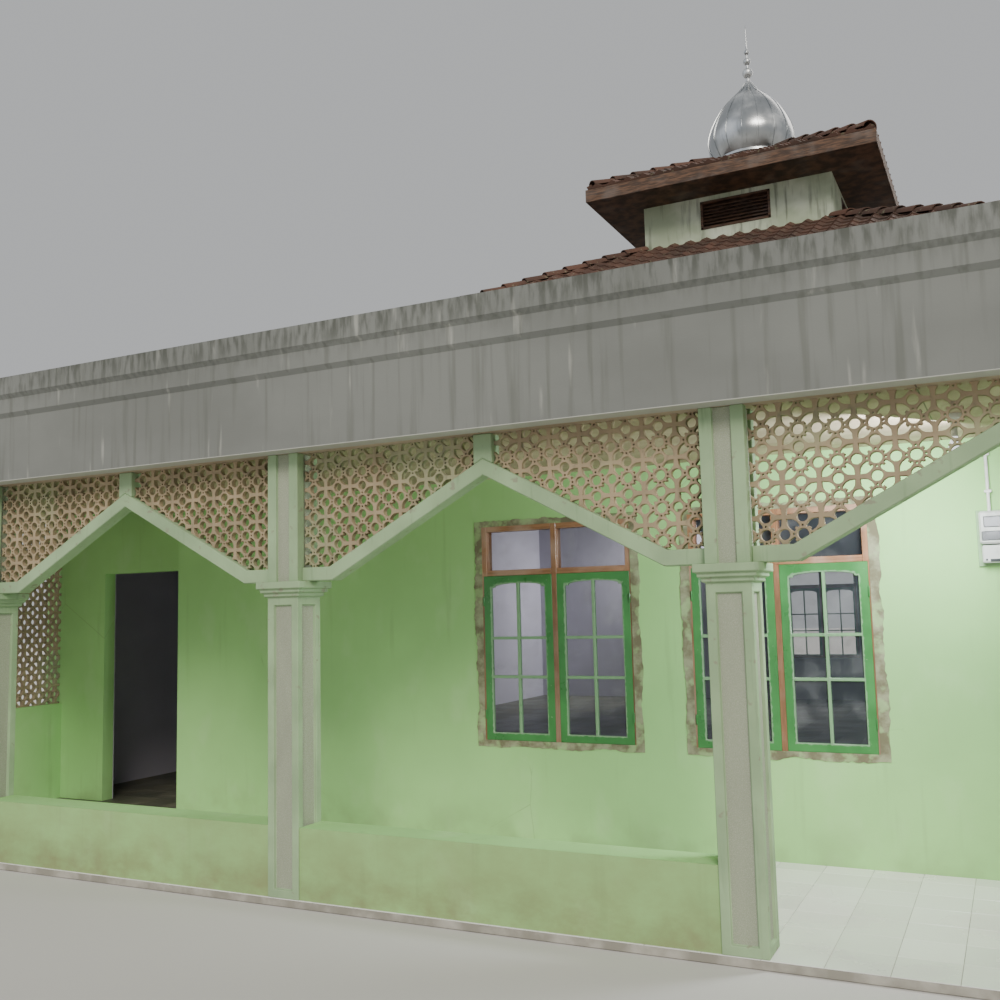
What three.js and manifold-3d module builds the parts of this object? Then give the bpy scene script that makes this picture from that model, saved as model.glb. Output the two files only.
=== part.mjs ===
// A small mosque: a square prayer hall under a hipped roof with a raised tier and a dome,
// and an arcaded verandah with perforated screens along its front.
// Millimetres, +Z up, the front faces -Y, z = 0 is the ground.

import * as THREE from "three";
import { mergeVertices } from "three/addons/utils/BufferGeometryUtils.js";
import Module from "manifold-3d";

const wasm = await Module();
wasm.setup();

// Driving dimensions

const seam = 0.3; // clearance left between touching pieces
const overcut = 1; // how far a cutting solid reaches past what it cuts
const weld = 0.001; // corners closer than this are one

const columnWidth = 240;
const bayPitch = 2880; // between the centres of the middle columns
const endBayPitch = 1680; // between the last two column centres at each end
const verandahDepth = 2000; // column fronts to the hall's front wall
const floorTop = 50;

const shaftTop = 1918;
const capitalTop = 2017;
const capitalSteps = 3;
const capitalStep = 18; // how far each step of a capital stands out past the one below
const columnBorder = 70; // plain border round a column's sunken strip
const stripDepth = 17;

const archFoot = 235; // level length of a band beside each column
const archApex = 2600; // soffit of the band at its point
const bandWidth = 86;
const bandDepth = 108;
const bandSetback = 46;
const kingPostWidth = 122;

const slabBottom = 2846;
const slabThickness = 120;
const parapetTop = 3620;
const parapetJut = 140; // how far its plain face stands out past the columns
const corniceLevels = [3320, 3457]; // where each cornice step starts to lean out
const corniceStep = 25;
const corniceLean = 32; // height of the leaning underside of a step

const seatTop = 485; // low seat wall between columns
const seatSetback = 10; // its face lies this far behind theirs
const screenThickness = 40;
const screenCell = 187; // repeat of the perforated pattern
const screenHole = 121;
const screenEdge = 18; // least cement between a hole and the band below it

const endSillTop = 974;
const endWallThickness = 110;

const wallThickness = 140;
const hallWallTop = 3764;
const frontWallHalf = 4240; // half length of the middle part of the front wall
const doorRecess = 120; // how far the doorway walls lie behind it
const doorOuter = 5314; // outer jamb of each doorway, from the middle
const doorTop = 2250;

const frontWindowCentres = [-411, 1279];
const sideWindowOffsets = [-2400, 2400]; // from the hall's middle
const windowWidth = 1250;
const windowSill = 791;
const windowTop = 2467;
const frameDepth = 100;
const frameFace = 45;
const leafTop = 2070;
const leafThickness = 34;
const leafStile = 64;
const leafRail = 60;
const leafLap = 30; // how much of the frame's jamb a leaf covers
const leafPlay = 2; // clearance round a leaf at the mullion and the sill
const leafShoulder = 26; // level length at each end of the arched head
const shoulderDrop = 7; // how far the arch starts above its shoulders
const archDrop = 26; // rise of the arched head
const archSegments = 5; // straight pieces in each half of it
const glazingBar = 22;
const barLevels = [0.37, 0.63]; // shares of the glazed height at which the level bars lie
const tieWidth = 4; // strip that fuses a hidden window's leaf to its frame
const glassThickness = 5;
const glassLap = 20; // how far a wall's glass reaches past its window holes

const roofPitch = 0.4976; // rise over run
const roofAtWall = 3864; // top surface over the hall's outer wall face
const roofOverhang = 500;
const roofThickness = 100;

const tierHalf = 1160;
const tierWallThickness = 120;
const tierEaveHalf = 1732;
const tierEaveBottom = 6860;
const tierEaveTop = 7060;
const tierPeakHalf = 430;
const tierPeak = 7640;
const ventWidth = 860;
const ventBottom = 6440;
const ventTop = 6800;

const domeRadius = 565;
const domeBase = 7640;
const domeTop = 8820;
const domeTipRadius = 30;
const domeSteps = 12;
const domeSides = 24;
// The dome's outline: share of its radius, share of its height
const domeOutline = [
  [0.8, 0],
  [1, 0.28],
  [0.72, 0.62],
  [0.22, 0.88],
];

const spireTop = 9640;
const spireFoot = 28; // radius
const spireNeck = [9, 0.58]; // radius, share of the spire's height
const spireSides = 12;
// The spire's balls: radius, share of its height
const spireBalls = [
  [70, 0.14],
  [50, 0.34],
  [34, 0.5],
];
const ballAngles = [-60, -20, 20, 60]; // degrees

const meterLeft = 2570;
const meterBottom = 2006;
const meterSize = [240, 110, 360];
const conduitWidth = 24;
const conduitInset = 70; // from the meter box's left side
const conduitGap = 16; // from the wall

const lampX = 2520;
const lampBehind = 1000; // behind the column fronts
const lampSides = 12;
// The lamp's outline: radius, drop below the slab
const lampOutline = [
  [0, 250],
  [28, 242],
  [40, 212],
  [34, 170],
  [18, 130],
  [18, 60],
  [50, 30],
  [50, 0],
  [0, 0],
];

// Sizes that follow from them

const hallHalf = 1.5 * bayPitch + endBayPitch + columnWidth / 2;
const hallDepth = 2 * hallHalf;
const parapetReach = parapetJut + corniceLevels.length * corniceStep;
const frontY = parapetReach - (parapetReach + verandahDepth + hallDepth + roofOverhang) / 2;
const hallY = frontY + verandahDepth;
const rearY = hallY + hallDepth;
const hallMiddleY = (hallY + rearY) / 2;
const hallAxis = [0, hallMiddleY];
const columnCentres = [
  -1.5 * bayPitch - endBayPitch,
  -1.5 * bayPitch,
  -0.5 * bayPitch,
  0.5 * bayPitch,
  1.5 * bayPitch,
  1.5 * bayPitch + endBayPitch,
];
const eaveTop = roofAtWall - roofOverhang * roofPitch;
const roofHead = roofAtWall + (hallHalf - tierHalf) * roofPitch;
const ends = [
  ["left", -1],
  ["right", 1],
];

// Materials

const paint = (color, roughness, metalness = 0) =>
  new THREE.MeshStandardMaterial({ color, roughness, metalness });

const greenPlaster = paint("#a9cf93", 0.85);
const columnPlaster = paint("#9dbd8c", 0.8);
const cementScreen = paint("#c8c3ae", 0.9);
const cementFascia = paint("#9a9c98", 0.9);
const floorTile = paint("#e4e6e2", 0.3);
const frameWood = paint("#a96d4c", 0.6);
const leafPaint = paint("#3f9a48", 0.45);
const windowGlass = paint("#9fb0b4", 0.1);
const roofTile = paint("#5b4138", 0.85);
const tierPlaster = paint("#b9c4b2", 0.85);
const domeMetal = paint("#a7adb0", 0.35, 0.8);
const meterPlastic = paint("#c9ccc6", 0.5);
const lampGlass = paint("#f4f2e6", 0.3);

// Solids

function solid(geometry) {
  geometry.deleteAttribute("normal");
  geometry.deleteAttribute("uv");
  const merged = mergeVertices(geometry, weld);
  return new wasm.Manifold(
    new wasm.Mesh({
      numProp: 3,
      vertProperties: merged.attributes.position.array,
      triVerts: new Uint32Array(merged.index.array),
    }),
  );
}

function box([x0, x1], [y0, y1], [z0, z1]) {
  const geometry = new THREE.BoxGeometry(x1 - x0, y1 - y0, z1 - z0);
  geometry.translate((x0 + x1) / 2, (y0 + y1) / 2, (z0 + z1) / 2);
  return solid(geometry);
}

// An outline of [x, z] points, given thickness from y0 to y1.
function upright(outline, y0, y1) {
  const shape = new THREE.Shape(outline.map(([x, z]) => new THREE.Vector2(x, z)));
  const geometry = new THREE.ExtrudeGeometry(shape, { depth: y1 - y0, bevelEnabled: false });
  geometry.rotateX(Math.PI / 2);
  geometry.translate(0, y1, 0);
  return solid(geometry);
}

function uprightPlate(outline, holes, y0, y1) {
  const plate = upright(outline, y0, y1);
  return holes.reduce(
    (left, hole) => left.subtract(upright(hole, y0 - overcut, y1 + overcut)),
    plate,
  );
}

// The same, turned to stand along Y: outline points are [y, z] and the thickness runs from x0 to x1.
function sidePlate(outline, holes, x0, x1) {
  const swapped = (points) => points.map(([y, z]) => [-y, z]);
  return uprightPlate(swapped(outline), holes.map(swapped), x0, x1).rotate([0, 0, -90]);
}

function rectangle(x0, x1, z0, z1) {
  return [
    [x0, z0],
    [x1, z0],
    [x1, z1],
    [x0, z1],
  ];
}

function mirrored(manifold, side) {
  return side < 0 ? manifold.mirror([1, 0, 0]) : manifold;
}

// A profile of [radius, z] points turned about the upright line through [x, y].
function turned(profile, sides, [x, y], start = 0) {
  const points = profile.map(([r, z]) => new THREE.Vector2(r, z));
  const geometry = new THREE.LatheGeometry(points, sides, start);
  geometry.rotateX(Math.PI / 2);
  geometry.translate(x, y, 0);
  return solid(geometry);
}

// The same about the middle of the hall, with four flat sides at the given distances from it.
function squareTurned(profile) {
  const corners = profile.map(([r, z]) => [r * Math.SQRT2, z]);
  return turned(corners, 4, hallAxis, Math.PI / 4);
}

const building = new THREE.Group();

function place(name, manifold, material) {
  const { vertProperties, triVerts, numProp } = manifold.getMesh();
  const points = new Float32Array((vertProperties.length / numProp) * 3);
  for (let i = 0; i < points.length / 3; i++) {
    points.set(vertProperties.subarray(i * numProp, i * numProp + 3), i * 3);
  }
  const geometry = new THREE.BufferGeometry();
  geometry.setAttribute("position", new THREE.BufferAttribute(points, 3));
  geometry.setIndex(new THREE.BufferAttribute(triVerts, 1));
  geometry.computeVertexNormals();
  const mesh = new THREE.Mesh(geometry, material);
  mesh.name = name;
  building.add(mesh);
}

// Floor

function floorSlab() {
  return box([-hallHalf, hallHalf], [frontY, rearY], [0, floorTop]);
}

// Verandah columns

function column(centre) {
  const half = columnWidth / 2;
  const middleY = frontY + half;
  const around = (reach, z0, z1) =>
    box([centre - reach, centre + reach], [middleY - reach, middleY + reach], [z0, z1]);
  const rise = (capitalTop - shaftTop) / (capitalSteps + 1);
  let body = around(half, floorTop + seam, slabBottom - seam);
  for (let k = 1; k <= capitalSteps; k++) {
    const top = k === capitalSteps ? capitalTop : shaftTop + k * rise;
    body = body.add(around(half + k * capitalStep, shaftTop + (k - 1) * rise, top));
  }
  const strips = [
    [floorTop + columnBorder, shaftTop - columnBorder],
    [capitalTop, slabBottom],
  ];
  const inner = half - columnBorder;
  for (const [z0, z1] of strips) {
    for (const side of [-1, 1]) {
      const near = side * (half - stripDepth);
      const far = side * (half + overcut);
      const [low, high] = [Math.min(near, far), Math.max(near, far)];
      body = body.subtract(
        box([centre - inner, centre + inner], [middleY + low, middleY + high], [z0, z1]),
      );
      body = body.subtract(
        box([centre + low, centre + high], [middleY - inner, middleY + inner], [z0, z1]),
      );
    }
  }
  return body;
}

function seatWall(left, right) {
  return box(
    [left + columnWidth / 2 + seam, right - columnWidth / 2 - seam],
    [frontY + seatSetback, frontY + columnWidth],
    [floorTop + seam, seatTop],
  );
}

// Arch bands and the screens over them

function archLines(left, right) {
  const x0 = left + columnWidth / 2 + seam;
  const x1 = right - columnWidth / 2 - seam;
  const middle = (x0 + x1) / 2;
  const foot = Math.min(archFoot, (x1 - x0) / 5);
  const soffit = capitalTop + seam;
  const slope = (archApex - soffit) / (middle - x0 - foot);
  const rise = bandWidth * Math.hypot(1, slope); // the band's height measured upright on its legs
  const turn = foot - (rise - bandWidth) / slope; // where the level top of a foot meets its leg
  return { x0, x1, middle, foot, soffit, slope, rise, turn };
}

function archBand(left, right) {
  const { x0, x1, middle, foot, soffit, rise, turn } = archLines(left, right);
  const outline = [
    [x0, soffit],
    [x0 + foot, soffit],
    [middle, archApex],
    [x1 - foot, soffit],
    [x1, soffit],
    [x1, soffit + bandWidth],
    [x1 - turn, soffit + bandWidth],
    [middle, archApex + rise],
    [x0 + turn, soffit + bandWidth],
    [x0, soffit + bandWidth],
  ];
  return uprightPlate(outline, [], frontY + bandSetback, frontY + bandSetback + bandDepth);
}

// Square holes on the pattern's grid, kept where all four corners pass the test.
function gridHoles([x0, x1], [z0, z1], inside) {
  const columns = Math.floor((x1 - x0) / screenCell);
  const rows = Math.floor((z1 - z0) / screenCell);
  const startX = (x0 + x1 - columns * screenCell) / 2;
  const startZ = z1 - rows * screenCell;
  const margin = (screenCell - screenHole) / 2;
  const holes = [];
  for (let i = 0; i < columns; i++) {
    for (let j = 0; j < rows; j++) {
      const a = startX + i * screenCell + margin;
      const b = startZ + j * screenCell + margin / 2;
      const hole = rectangle(a, a + screenHole, b, b + screenHole);
      if (hole.every(([x, z]) => inside(x, z))) holes.push(hole);
    }
  }
  return holes;
}

function screen(left, right) {
  const { x0, x1, middle, soffit, slope, rise, foot, turn } = archLines(left, right);
  const top = slabBottom - seam;
  const footTop = soffit + bandWidth + seam;
  const legTop = (x) => {
    const run = Math.min(x - x0, x1 - x) - foot;
    return Math.max(footTop, soffit + run * slope + rise + seam);
  };
  const outline = [
    [x0, footTop],
    [x0 + turn, footTop],
    [middle, archApex + rise + seam],
    [x1 - turn, footTop],
    [x1, footTop],
    [x1, top],
    [x0, top],
  ];
  const postHalf = kingPostWidth / 2;
  const panels = [
    [x0, middle - postHalf],
    [middle + postHalf, x1],
  ];
  const holes = panels.flatMap((span) =>
    gridHoles(span, [footTop, top], (x, z) => z > legTop(x) + screenEdge),
  );
  const face = frontY + bandSetback + (bandDepth - screenThickness) / 2;
  const plate = uprightPlate(outline, holes, face, face + screenThickness);
  const postOutline = [
    [middle - postHalf, legTop(middle - postHalf)],
    [middle, legTop(middle)],
    [middle + postHalf, legTop(middle + postHalf)],
    [middle + postHalf, top],
    [middle - postHalf, top],
  ];
  const post = uprightPlate(postOutline, [], frontY + bandSetback, frontY + bandSetback + bandDepth);
  return plate.add(post);
}

// Ends of the verandah: a low wall with a perforated panel standing on it

const endOuter = hallHalf - columnWidth / 2;
const endInner = endOuter - endWallThickness;
const endSpan = [frontY + columnWidth + seam, hallY + doorRecess - seam];

function endWall(side) {
  return mirrored(box([endInner, endOuter], endSpan, [floorTop + seam, endSillTop]), side);
}

function endScreen(side) {
  const [y0, y1] = endSpan;
  const top = slabBottom - seam;
  const middle = (endInner + endOuter) / 2;
  const panel = sidePlate(
    rectangle(y0, y1, endSillTop + seam, top),
    gridHoles(endSpan, [endSillTop, top], () => true),
    middle - screenThickness / 2,
    middle + screenThickness / 2,
  );
  const capital = box(
    [endInner, endOuter],
    [y0 - overcut, frontY + columnWidth + capitalSteps * capitalStep + seam],
    [shaftTop - seam, capitalTop + seam],
  );
  return mirrored(panel.subtract(capital), side);
}

// Flat verandah roof and the fascia round it, cut lower at its ends where the hall's eave passes

function verandahSlab() {
  return box(
    [-hallHalf + seam, hallHalf - seam],
    [frontY + seam, hallY - seam],
    [slabBottom, slabBottom + slabThickness],
  );
}

function parapet() {
  const face = [[parapetJut, slabBottom]];
  corniceLevels.forEach((level, k) => {
    const jut = parapetJut + k * corniceStep;
    face.push([jut, level], [jut + corniceStep, level + corniceLean]);
  });
  face.push([parapetReach, parapetTop]);

  const back = hallY + doorRecess + wallThickness;
  const inner = hallHalf + seam;
  const far = hallHalf + 2 * parapetReach;
  const front = face.map(([jut, z]) => [frontY - jut, z]);
  const alongFront = sidePlate([...front, [back, parapetTop], [back, slabBottom]], [], -far, far);
  const right = face.map(([jut, z]) => [hallHalf + jut, z]);
  const left = face.map(([jut, z]) => [-hallHalf - jut, z]).reverse();
  const alongSides = upright([...right, ...left], frontY - 2 * parapetReach, back);
  const above = parapetTop + overcut;
  const court = box([-inner, inner], [frontY, back + overcut], [slabBottom - overcut, above]);
  const underEave = box(
    [-far, far],
    [hallY - roofOverhang - seam, back + overcut],
    [eaveTop - roofThickness - seam, above],
  );
  return alongFront.intersect(alongSides).subtract(court).subtract(underEave);
}

// Hall walls

function windowHole(centre) {
  return rectangle(centre - windowWidth / 2, centre + windowWidth / 2, windowSill, windowTop);
}

function frontWall() {
  const outline = rectangle(-frontWallHalf, frontWallHalf, floorTop + seam, hallWallTop);
  const holes = frontWindowCentres.map(windowHole);
  let wall = uprightPlate(outline, holes, hallY, hallY + wallThickness);
  const returnWall = box(
    [frontWallHalf - wallThickness, frontWallHalf],
    [hallY, hallY + doorRecess + wallThickness],
    [floorTop + seam, hallWallTop],
  );
  for (const side of [-1, 1]) wall = wall.add(mirrored(returnWall, side));
  return wall;
}

function doorPier(side) {
  const y0 = hallY + doorRecess;
  return mirrored(
    box([doorOuter, hallHalf], [y0, y0 + wallThickness], [floorTop + seam, hallWallTop]),
    side,
  );
}

function doorLintel(side) {
  const y0 = hallY + doorRecess;
  return mirrored(
    box(
      [frontWallHalf + seam, doorOuter - seam],
      [y0, y0 + wallThickness],
      [doorTop, hallWallTop],
    ),
    side,
  );
}

function sideWall(side) {
  const y0 = hallY + doorRecess + wallThickness + seam;
  const y1 = rearY - wallThickness - seam;
  const outline = rectangle(y0, y1, floorTop + seam, hallWallTop);
  const holes = sideWindowOffsets.map((offset) => windowHole(hallMiddleY + offset));
  return mirrored(sidePlate(outline, holes, hallHalf - wallThickness, hallHalf), side);
}

function rearWall() {
  const outline = rectangle(-hallHalf, hallHalf, floorTop + seam, hallWallTop);
  return uprightPlate(outline, frontWindowCentres.map(windowHole), rearY - wallThickness, rearY);
}

// Windows. Each is drawn about x = 0 with its outer face at y = 0 and moved to its wall.

const frameHalf = windowWidth / 2 - seam;
const frameBottom = windowSill + seam;
const frameTop = windowTop - seam;

function windowFrame() {
  const bays = [
    [-frameHalf + frameFace, -frameFace / 2],
    [frameFace / 2, frameHalf - frameFace],
  ];
  const holes = bays.flatMap(([x0, x1]) => [
    rectangle(x0, x1, frameBottom + frameFace, leafTop - leafLap / 2),
    rectangle(x0, x1, leafTop + frameFace, frameTop - frameFace),
  ]);
  const outline = rectangle(-frameHalf, frameHalf, frameBottom, frameTop);
  let frame = uprightPlate(outline, holes, 0, frameDepth);
  for (const span of leafSpans()) {
    const rebate = box(
      [span[0] - seam, span[1] + seam],
      [-overcut, leafThickness + seam],
      [frameBottom - overcut, leafTop + seam],
    );
    frame = frame.subtract(rebate);
  }
  return frame;
}

function leafSpans() {
  const outer = frameHalf - frameFace + leafLap;
  const inner = frameFace / 2 - leafPlay;
  return [
    [-outer, -inner],
    [inner, outer],
  ];
}

// A leaf of six panes. The two upper ones share one half ellipse as their head, with level
// shoulders at the stiles.
function windowLeaf([x0, x1]) {
  const [bottom, top] = [frameBottom + leafPlay, leafTop];
  const [low, high] = [bottom + leafRail, top - leafRail];
  const [lowerBar, upperBar] = barLevels.map((share) => low + (high - low) * share);
  const middle = (x0 + x1) / 2;
  const halfBar = glazingBar / 2;
  const stileInner = (x1 - x0) / 2 - leafStile; // from the leaf's middle to the edge of its glass
  const springing = high - archDrop;
  const archHalf = stileInner - leafShoulder;
  const lastAngle = Math.acos(halfBar / archHalf); // where the arch meets the upright bar
  const holes = [];
  for (const side of [-1, 1]) {
    const inner = middle + side * halfBar;
    const outer = middle + side * stileInner;
    const shoulder = middle + side * archHalf;
    const [a, b] = [Math.min(inner, outer), Math.max(inner, outer)];
    holes.push(rectangle(a, b, low, lowerBar - halfBar));
    holes.push(rectangle(a, b, lowerBar + halfBar, upperBar - halfBar));
    const pane = [
      [inner, upperBar + halfBar],
      [outer, upperBar + halfBar],
      [outer, springing - shoulderDrop],
      [shoulder, springing - shoulderDrop],
    ];
    for (let k = 0; k <= archSegments; k++) {
      const angle = (lastAngle * k) / archSegments;
      pane.push([
        middle + side * archHalf * Math.cos(angle),
        springing + archDrop * Math.sin(angle),
      ]);
    }
    holes.push(side > 0 ? pane : pane.reverse());
  }
  return uprightPlate(rectangle(x0, x1, bottom, top), holes, 0, leafThickness);
}

function windowSheet() {
  return box(
    [-frameHalf, frameHalf],
    [frameDepth + seam, frameDepth + seam + glassThickness],
    [frameBottom, frameTop],
  );
}

// A hidden window: the frame and both leaves fused by thin strips where they meet.
function wholeWindow() {
  const leaves = leafSpans().map(windowLeaf);
  const ties = leafSpans().map(([x0, x1]) =>
    box(
      [x0 - overcut, x1 + overcut],
      [leafThickness - tieWidth / 2, leafThickness + tieWidth / 2],
      [frameBottom + overcut, frameBottom + frameFace],
    ),
  );
  return [...leaves, ...ties].reduce((sum, piece) => sum.add(piece), windowFrame());
}

// One sheet along the inner face of a wall closes that wall's hidden windows.
function wallSheet(centres) {
  const reach = windowWidth / 2 + glassLap;
  return box(
    [Math.min(...centres) - reach, Math.max(...centres) + reach],
    [wallThickness + seam, wallThickness + seam + glassThickness],
    [windowSill - glassLap, windowTop + glassLap],
  );
}

function addFrontWindow(name, centre) {
  const moved = (manifold) => manifold.translate([centre, hallY, 0]);
  const [leftSpan, rightSpan] = leafSpans();
  place(`${name}_frame`, moved(windowFrame()), frameWood);
  place(`${name}_leaf_left`, moved(windowLeaf(leftSpan)), leafPaint);
  place(`${name}_leaf_right`, moved(windowLeaf(rightSpan)), leafPaint);
  place(`${name}_glass`, moved(windowSheet()), windowGlass);
}

// Roof. Four mitred slopes carry the tier.

function roofSlope(turn) {
  const eave = hallHalf + roofOverhang;
  const section = [
    [-eave, eaveTop],
    [-eave, eaveTop - roofThickness],
    [-tierHalf, roofHead - roofThickness],
    [-tierHalf, roofHead],
  ];
  const slab = sidePlate(section, [], -eave, eave);
  const reach = eave + overcut;
  const gap = seam * Math.SQRT1_2;
  const wedge = new THREE.Shape([
    new THREE.Vector2(0, -gap),
    new THREE.Vector2(-reach, -reach - gap),
    new THREE.Vector2(reach, -reach - gap),
  ]);
  const extent = { depth: spireTop, bevelEnabled: false };
  const cutter = solid(new THREE.ExtrudeGeometry(wedge, extent));
  return slab.intersect(cutter).rotate([0, 0, turn * 90]).translate([0, hallMiddleY, 0]);
}

function tierWalls() {
  const bottom = roofHead - roofThickness;
  const ring = squareTurned([
    [tierHalf - seam, bottom],
    [tierHalf - seam, tierEaveBottom - seam],
    [tierHalf - tierWallThickness, tierEaveBottom - seam],
    [tierHalf - tierWallThickness, bottom],
    [tierHalf - seam, bottom],
  ]);
  const half = ventWidth / 2;
  const alongX = box([-tierEaveHalf, tierEaveHalf], [-half, half], [ventBottom, ventTop]);
  const alongY = alongX.rotate([0, 0, 90]);
  return ring.subtract(alongX.add(alongY).translate([0, hallMiddleY, 0]));
}

function tierRoof() {
  return squareTurned([
    [0, tierEaveBottom],
    [tierEaveHalf, tierEaveBottom],
    [tierEaveHalf, tierEaveTop],
    [tierPeakHalf, tierPeak],
    [0, tierPeak],
  ]);
}

// Onion outline from its foot to its point, as one smooth curve through the given sizes.
function dome() {
  const foot = domeBase + seam;
  const curve = new THREE.SplineCurve([
    ...domeOutline.map(([radius, height]) => {
      const z = Math.max(foot, domeBase + (domeTop - domeBase) * height);
      return new THREE.Vector2(domeRadius * radius, z);
    }),
    new THREE.Vector2(domeTipRadius, domeTop),
  ]);
  const outline = curve.getPoints(domeSteps).map(({ x, y }) => [x, y]);
  return turned([[0, foot], ...outline, [0, domeTop]], domeSides, hallAxis);
}

function spire() {
  const foot = domeTop + seam;
  const level = (share) => foot + (spireTop - foot) * share;
  const ball = ([radius, height]) =>
    ballAngles.map((degrees) => {
      const angle = THREE.MathUtils.degToRad(degrees);
      return [radius * Math.cos(angle), level(height) + radius * Math.sin(angle)];
    });
  const [neckRadius, neckLevel] = spireNeck;
  const profile = [
    [0, foot],
    [spireFoot, foot],
    ...spireBalls.flatMap(ball),
    [neckRadius, level(neckLevel)],
    [0, spireTop],
  ];
  return turned(profile, spireSides, hallAxis);
}

// Fittings

function meterBox() {
  const [width, depth, height] = meterSize;
  const top = meterBottom + height;
  const body = box(
    [meterLeft, meterLeft + width],
    [hallY - depth, hallY - seam],
    [meterBottom, top],
  );
  const conduitLeft = meterLeft + conduitInset;
  const conduit = box(
    [conduitLeft, conduitLeft + conduitWidth],
    [hallY - conduitGap - conduitWidth, hallY - conduitGap],
    [top - overcut, slabBottom - seam],
  );
  return body.add(conduit);
}

function lamp() {
  const profile = lampOutline.map(([radius, drop]) => [radius, slabBottom - seam - drop]);
  return turned(profile, lampSides, [lampX, frontY + lampBehind]);
}

// Assembly

place("floor_slab", floorSlab(), floorTile);
columnCentres.forEach((centre, k) => place(`column_${k + 1}`, column(centre), columnPlaster));
place("seat_wall_left", seatWall(columnCentres[1], columnCentres[2]), greenPlaster);
place("seat_wall_middle", seatWall(columnCentres[2], columnCentres[3]), greenPlaster);
columnCentres.slice(1).forEach((right, k) => {
  const left = columnCentres[k];
  place(`arch_band_${k + 1}`, archBand(left, right), columnPlaster);
  place(`arch_screen_${k + 1}`, screen(left, right), cementScreen);
});
place("verandah_roof_slab", verandahSlab(), cementFascia);
place("parapet", parapet(), cementFascia);

place("front_wall", frontWall(), greenPlaster);
for (const [name, side] of ends) {
  place(`end_wall_${name}`, endWall(side), greenPlaster);
  place(`end_screen_${name}`, endScreen(side), cementScreen);
  place(`doorway_pier_${name}`, doorPier(side), greenPlaster);
  place(`doorway_lintel_${name}`, doorLintel(side), greenPlaster);
  place(`side_wall_${name}`, sideWall(side), greenPlaster);
  const onSide = (manifold, offset) =>
    manifold.rotate([0, 0, side * 90]).translate([side * hallHalf, hallMiddleY + offset, 0]);
  sideWindowOffsets.forEach((offset, k) =>
    place(`side_window_${name}_${k + 1}`, onSide(wholeWindow(), offset), frameWood),
  );
  place(`side_glass_${name}`, onSide(wallSheet(sideWindowOffsets), 0), windowGlass);
}
place("rear_wall", rearWall(), greenPlaster);
const onRear = (manifold, centre) => manifold.rotate([0, 0, 180]).translate([centre, rearY, 0]);
const rearSheet = wallSheet(frontWindowCentres.map((centre) => -centre));
place("rear_glass", onRear(rearSheet, 0), windowGlass);
frontWindowCentres.forEach((centre, k) => {
  addFrontWindow(`front_window_${k + 1}`, centre);
  place(`rear_window_${k + 1}`, onRear(wholeWindow(), centre), frameWood);
});

["front", "right", "rear", "left"].forEach((name, turn) =>
  place(`roof_slope_${name}`, roofSlope(turn), roofTile),
);
place("tier_walls", tierWalls(), tierPlaster);
place("tier_roof", tierRoof(), roofTile);
place("dome", dome(), domeMetal);
place("spire", spire(), domeMetal);

place("meter_box", meterBox(), meterPlastic);
place("lamp", lamp(), lampGlass);

export default building;
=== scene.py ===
"""A small mosque with an arcaded verandah, dressed around its frame. Metres, +Z up, the front faces -Y."""

import math
import random
from itertools import product
from types import SimpleNamespace

import bmesh
import bpy
from bpy.props import FloatProperty, FloatVectorProperty, PointerProperty
from mathutils import Matrix, Vector


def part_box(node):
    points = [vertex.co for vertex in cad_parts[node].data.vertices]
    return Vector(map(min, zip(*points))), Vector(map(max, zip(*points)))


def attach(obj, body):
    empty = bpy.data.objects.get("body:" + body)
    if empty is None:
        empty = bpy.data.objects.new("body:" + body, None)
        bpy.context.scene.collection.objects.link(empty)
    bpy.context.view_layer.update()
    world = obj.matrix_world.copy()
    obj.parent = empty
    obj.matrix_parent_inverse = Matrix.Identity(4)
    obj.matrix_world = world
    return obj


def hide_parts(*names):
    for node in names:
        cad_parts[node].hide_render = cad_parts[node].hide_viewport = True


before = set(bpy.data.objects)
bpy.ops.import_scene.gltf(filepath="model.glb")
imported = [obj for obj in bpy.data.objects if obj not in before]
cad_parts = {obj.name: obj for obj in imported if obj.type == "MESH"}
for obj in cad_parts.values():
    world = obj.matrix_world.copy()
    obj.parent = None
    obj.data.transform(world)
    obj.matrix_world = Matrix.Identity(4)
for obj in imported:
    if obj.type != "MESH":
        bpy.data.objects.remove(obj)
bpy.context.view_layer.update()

bl_info = {
    "name": "Mosque building",
    "version": (1, 0, 0),
    "blender": (4, 5, 0),
    "location": "3D View > Sidebar > Mosque",
    "description": "Dresses a small mosque with screens, windows, roof tiles and painted surfaces",
    "category": "Object",
}


# Sizes that several pieces share, in metres

SLAB_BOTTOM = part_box("verandah_roof_slab")[0].z
FLOOR_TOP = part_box("floor_slab")[1].z
HALL_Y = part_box("front_wall")[0].y
HALL_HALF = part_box("floor_slab")[1].x
HALL_MIDDLE_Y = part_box("dome")[0].y / 2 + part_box("dome")[1].y / 2
WALL = 0.14
DOOR_RECESS = 0.12
FRONT_WALL_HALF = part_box("front_wall")[1].x
SEAT_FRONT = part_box("seat_wall_middle")[0].y
SCREEN_DEPTH = 0.04
CLEAR = 0.0005  # how far a dressed piece stops short of what it stands against
SMOOTH_LIMIT = math.radians(35)
SCATTER = (12.9898, 78.233, 43758.5453)  # factors that make a tile's column and row look like chance


def linear(hex_colour, alpha=1.0):
    """An sRGB hex colour as linear red, green, blue and alpha."""
    parts = [int(hex_colour[i : i + 2], 16) / 255 for i in (1, 3, 5)]
    return (*[c / 12.92 if c <= 0.04045 else ((c + 0.055) / 1.055) ** 2.4 for c in parts], alpha)


# Settings that a user would change


def colour_setting(name, description, hex_colour):
    limits = {"size": 4, "min": 0.0, "max": 1.0}
    default = linear(hex_colour)
    return FloatVectorProperty(name=name, description=description, subtype="COLOR", default=default, **limits)


def size_setting(name, description, metres):
    return FloatProperty(name=name, description=description, unit="LENGTH", min=0.001, default=metres)


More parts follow.
